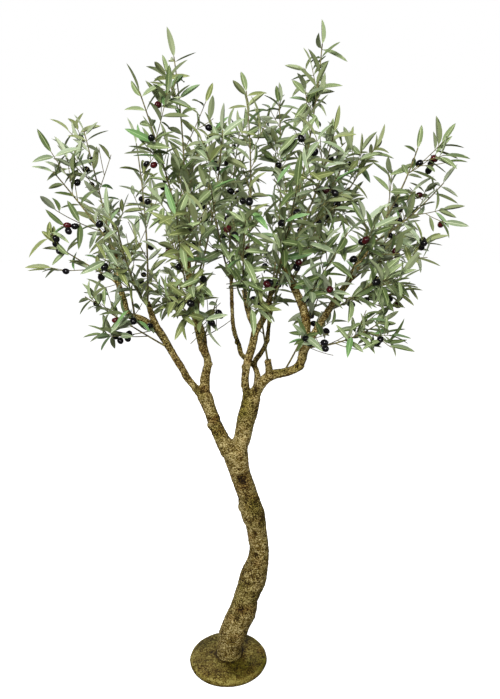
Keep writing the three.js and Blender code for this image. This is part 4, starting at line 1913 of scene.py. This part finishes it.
    def grow(self) -> None:
        """Grows every spray: the main twigs, then finer ones between and on them, then the rest."""
        for spray in self.sprays:
            chance = {stream: SeededRandom(stream.value + spray.seed) for stream in Stream}
            self._grow_twigs(spray, chance[Stream.MAIN_TWIGS], self.twigs.step, first=0.0, shortening=1.0)
            self._grow_twigs(
                spray, chance[Stream.CLOSE_TWIGS], self.twigs.step / spray.fullness,
                self.twigs.close_row_start, self.twigs.close_row_length,
            )
            self._grow_fine_twigs(spray, chance[Stream.FINE_TWIGS])
            self._grow_olives(spray, chance[Stream.OLIVES])
            self._grow_leaves(spray, chance[Stream.LEAVES])
        LOG.info(
            "%d leaves, %d twigs, %d olives",
            sum(len(spray.leaves) for spray in self.sprays),
            sum(len(spray.axes) - 1 for spray in self.sprays),
            sum(len(spray.olives) for spray in self.sprays),
        )

    def build(self) -> None:
        """Builds the leaves, twigs and olives, each kind joined."""
        names = [spray.name for spray in self.sprays]
        tones = [material for tone in LEAF_TONES for material in tone.materials()]
        half = len(self.sprays) // 2
        for name, sprays in (("leaves_a", self.sprays[:half]), ("leaves_b", self.sprays[half:])):
            pile = Pile()
            for spray in sprays:
                for leaf in spray.leaves:
                    leaf.add_to(pile)
            new_piece(name, pile.mesh(name, tones), [spray.name for spray in sprays])
        twigs, olives = Pile(), Pile()
        for spray in self.sprays:
            for axis in spray.axes:
                add_tube(twigs, axis, self.stems.sides if axis is spray.stem else self.twigs.sides)
            for olive in spray.olives:
                olive.add_to(olives)
                add_tube(twigs, olive.stalk(), Olive.STALK_SIDES)
        new_piece("twigs", twigs.mesh("twigs", [TwigBark().material()]), names)
        skins = [skin.material() for skin in OLIVE_SKINS]
        new_piece("olives", olives.mesh("olives", skins), names)


@dataclass(frozen=True)
class Lamp:
    """A soft square lamp.

    Attributes:
        name: Its name.
        place: Where it hangs.
        size: The length of its sides.
        power: Its power, in watts.
    """

    name: str
    place: tuple[float, float, float]
    size: float
    power: float

    def hang(self, target: Vector) -> None:
        """Hangs the lamp, turned towards a target.

        Args:
            target: The place that it shines on.
        """
        data = bpy.data.lights.new(self.name, "AREA")
        data.size = self.size
        data.energy = self.power
        lamp = bpy.data.objects.new(self.name, data)
        lamp.location = self.place
        lamp.rotation_euler = (target - Vector(self.place)).to_track_quat("-Z", "Y").to_euler()
        bpy.context.scene.collection.objects.link(lamp)


@dataclass
class Studio:
    """The camera, the pale floor and the soft lights, in metres.

    Attributes:
        camera_place: Where the camera stands.
        pitch: How far it is tilted down, in degrees.
        lens: Its focal length, in millimetres.
        far: How far it sees.
        floor_radius: The floor's radius.
        floor_sides: How many corners the floor's edge has.
        floor_colour: The floor's colour.
        floor_roughness: The floor's roughness.
        floor_glow: How strongly the floor glows, so that it stays pale behind the tree.
        sky_colour: The colour all round.
        ambience: How strongly that lights the tree; the camera sees it in full.
        target: The place that the lamps shine on.
        lamps: The lamps.
    """

    camera_place: tuple[float, float, float] = (0.065, -1.62, 1.239)
    pitch: float = 10.0
    lens: float = 30.9
    far: float = 200.0
    floor_radius: float = 40.0
    floor_sides: int = 64
    floor_colour: Colour = (0.9, 0.9, 0.9, 1.0)
    floor_roughness: float = 0.9
    floor_glow: float = 1.0
    sky_colour: Colour = (1.0, 1.0, 1.0, 1.0)
    ambience: float = 0.15
    target: tuple[float, float, float] = (0.0, 0.0, 1.0)
    lamps: tuple[Lamp, ...] = (
        Lamp("key", (-0.7, -3.3, 2.4), size=1.0, power=168.0),
        Lamp("fill", (2.4, -2.2, 2.0), size=1.8, power=24.0),
        Lamp("back", (-1.4, 3.0, 2.4), size=1.8, power=95.0),
    )

    def _set_up_camera(self) -> None:
        """Sets up the camera, level from side to side and tilted down a little."""
        data = bpy.data.cameras.new("camera")
        data.lens = self.lens
        data.clip_end = self.far
        camera = bpy.data.objects.new("camera", data)
        camera.location = self.camera_place
        camera.rotation_euler = (math.radians(90 - self.pitch), 0, 0)
        bpy.context.scene.collection.objects.link(camera)
        bpy.context.scene.camera = camera

    def _lay_floor(self) -> None:
        """Lays a plain pale floor, which throws no light of its own on the tree."""
        shape = bmesh.new()
        bmesh.ops.create_circle(shape, cap_ends=True, segments=self.floor_sides, radius=self.floor_radius)
        mesh = bpy.data.meshes.new("floor")
        shape.to_mesh(mesh)
        shape.free()
        mesh.materials.append(MaterialGraph("floor").finish({
            "Base Color": self.floor_colour,
            "Roughness": self.floor_roughness,
            "Emission Color": self.floor_colour,
            "Emission Strength": self.floor_glow,
        }))
        floor = bpy.data.objects.new("floor", mesh)
        floor.visible_diffuse = False
        floor.visible_glossy = False
        bpy.context.scene.collection.objects.link(floor)

    def _light_surroundings(self) -> None:
        """Makes the surroundings white to the camera, and a faint even light to the tree."""
        world = bpy.data.worlds.new("studio")
        world.use_nodes = True
        graph = Graph(world.node_tree)
        seen = graph.node("ShaderNodeLightPath", {}, {}, "Is Camera Ray")
        strength = graph.node("ShaderNodeMapRange", {}, {"Value": seen, "To Min": self.ambience})
        sky = graph.node("ShaderNodeBackground", {}, {"Color": self.sky_colour, "Strength": strength})
        graph.node("ShaderNodeOutputWorld", {}, {"Surface": sky})
        bpy.context.scene.world = world

    def build(self) -> None:
        """Builds the studio."""
        self._set_up_camera()
        self._lay_floor()
        for lamp in self.lamps:
            lamp.hang(Vector(self.target))
        self._light_surroundings()
        bpy.context.scene.view_settings.view_transform = "Standard"


def main() -> None:
    """Builds the tree and its studio."""
    logging.basicConfig(level=logging.INFO, format="%(message)s")
    Studio().build()
    BaseDisc().build()
    Wood().build()
    crown = Crown()
    crown.grow()
    crown.build()


if __name__ == "__main__":
    main()
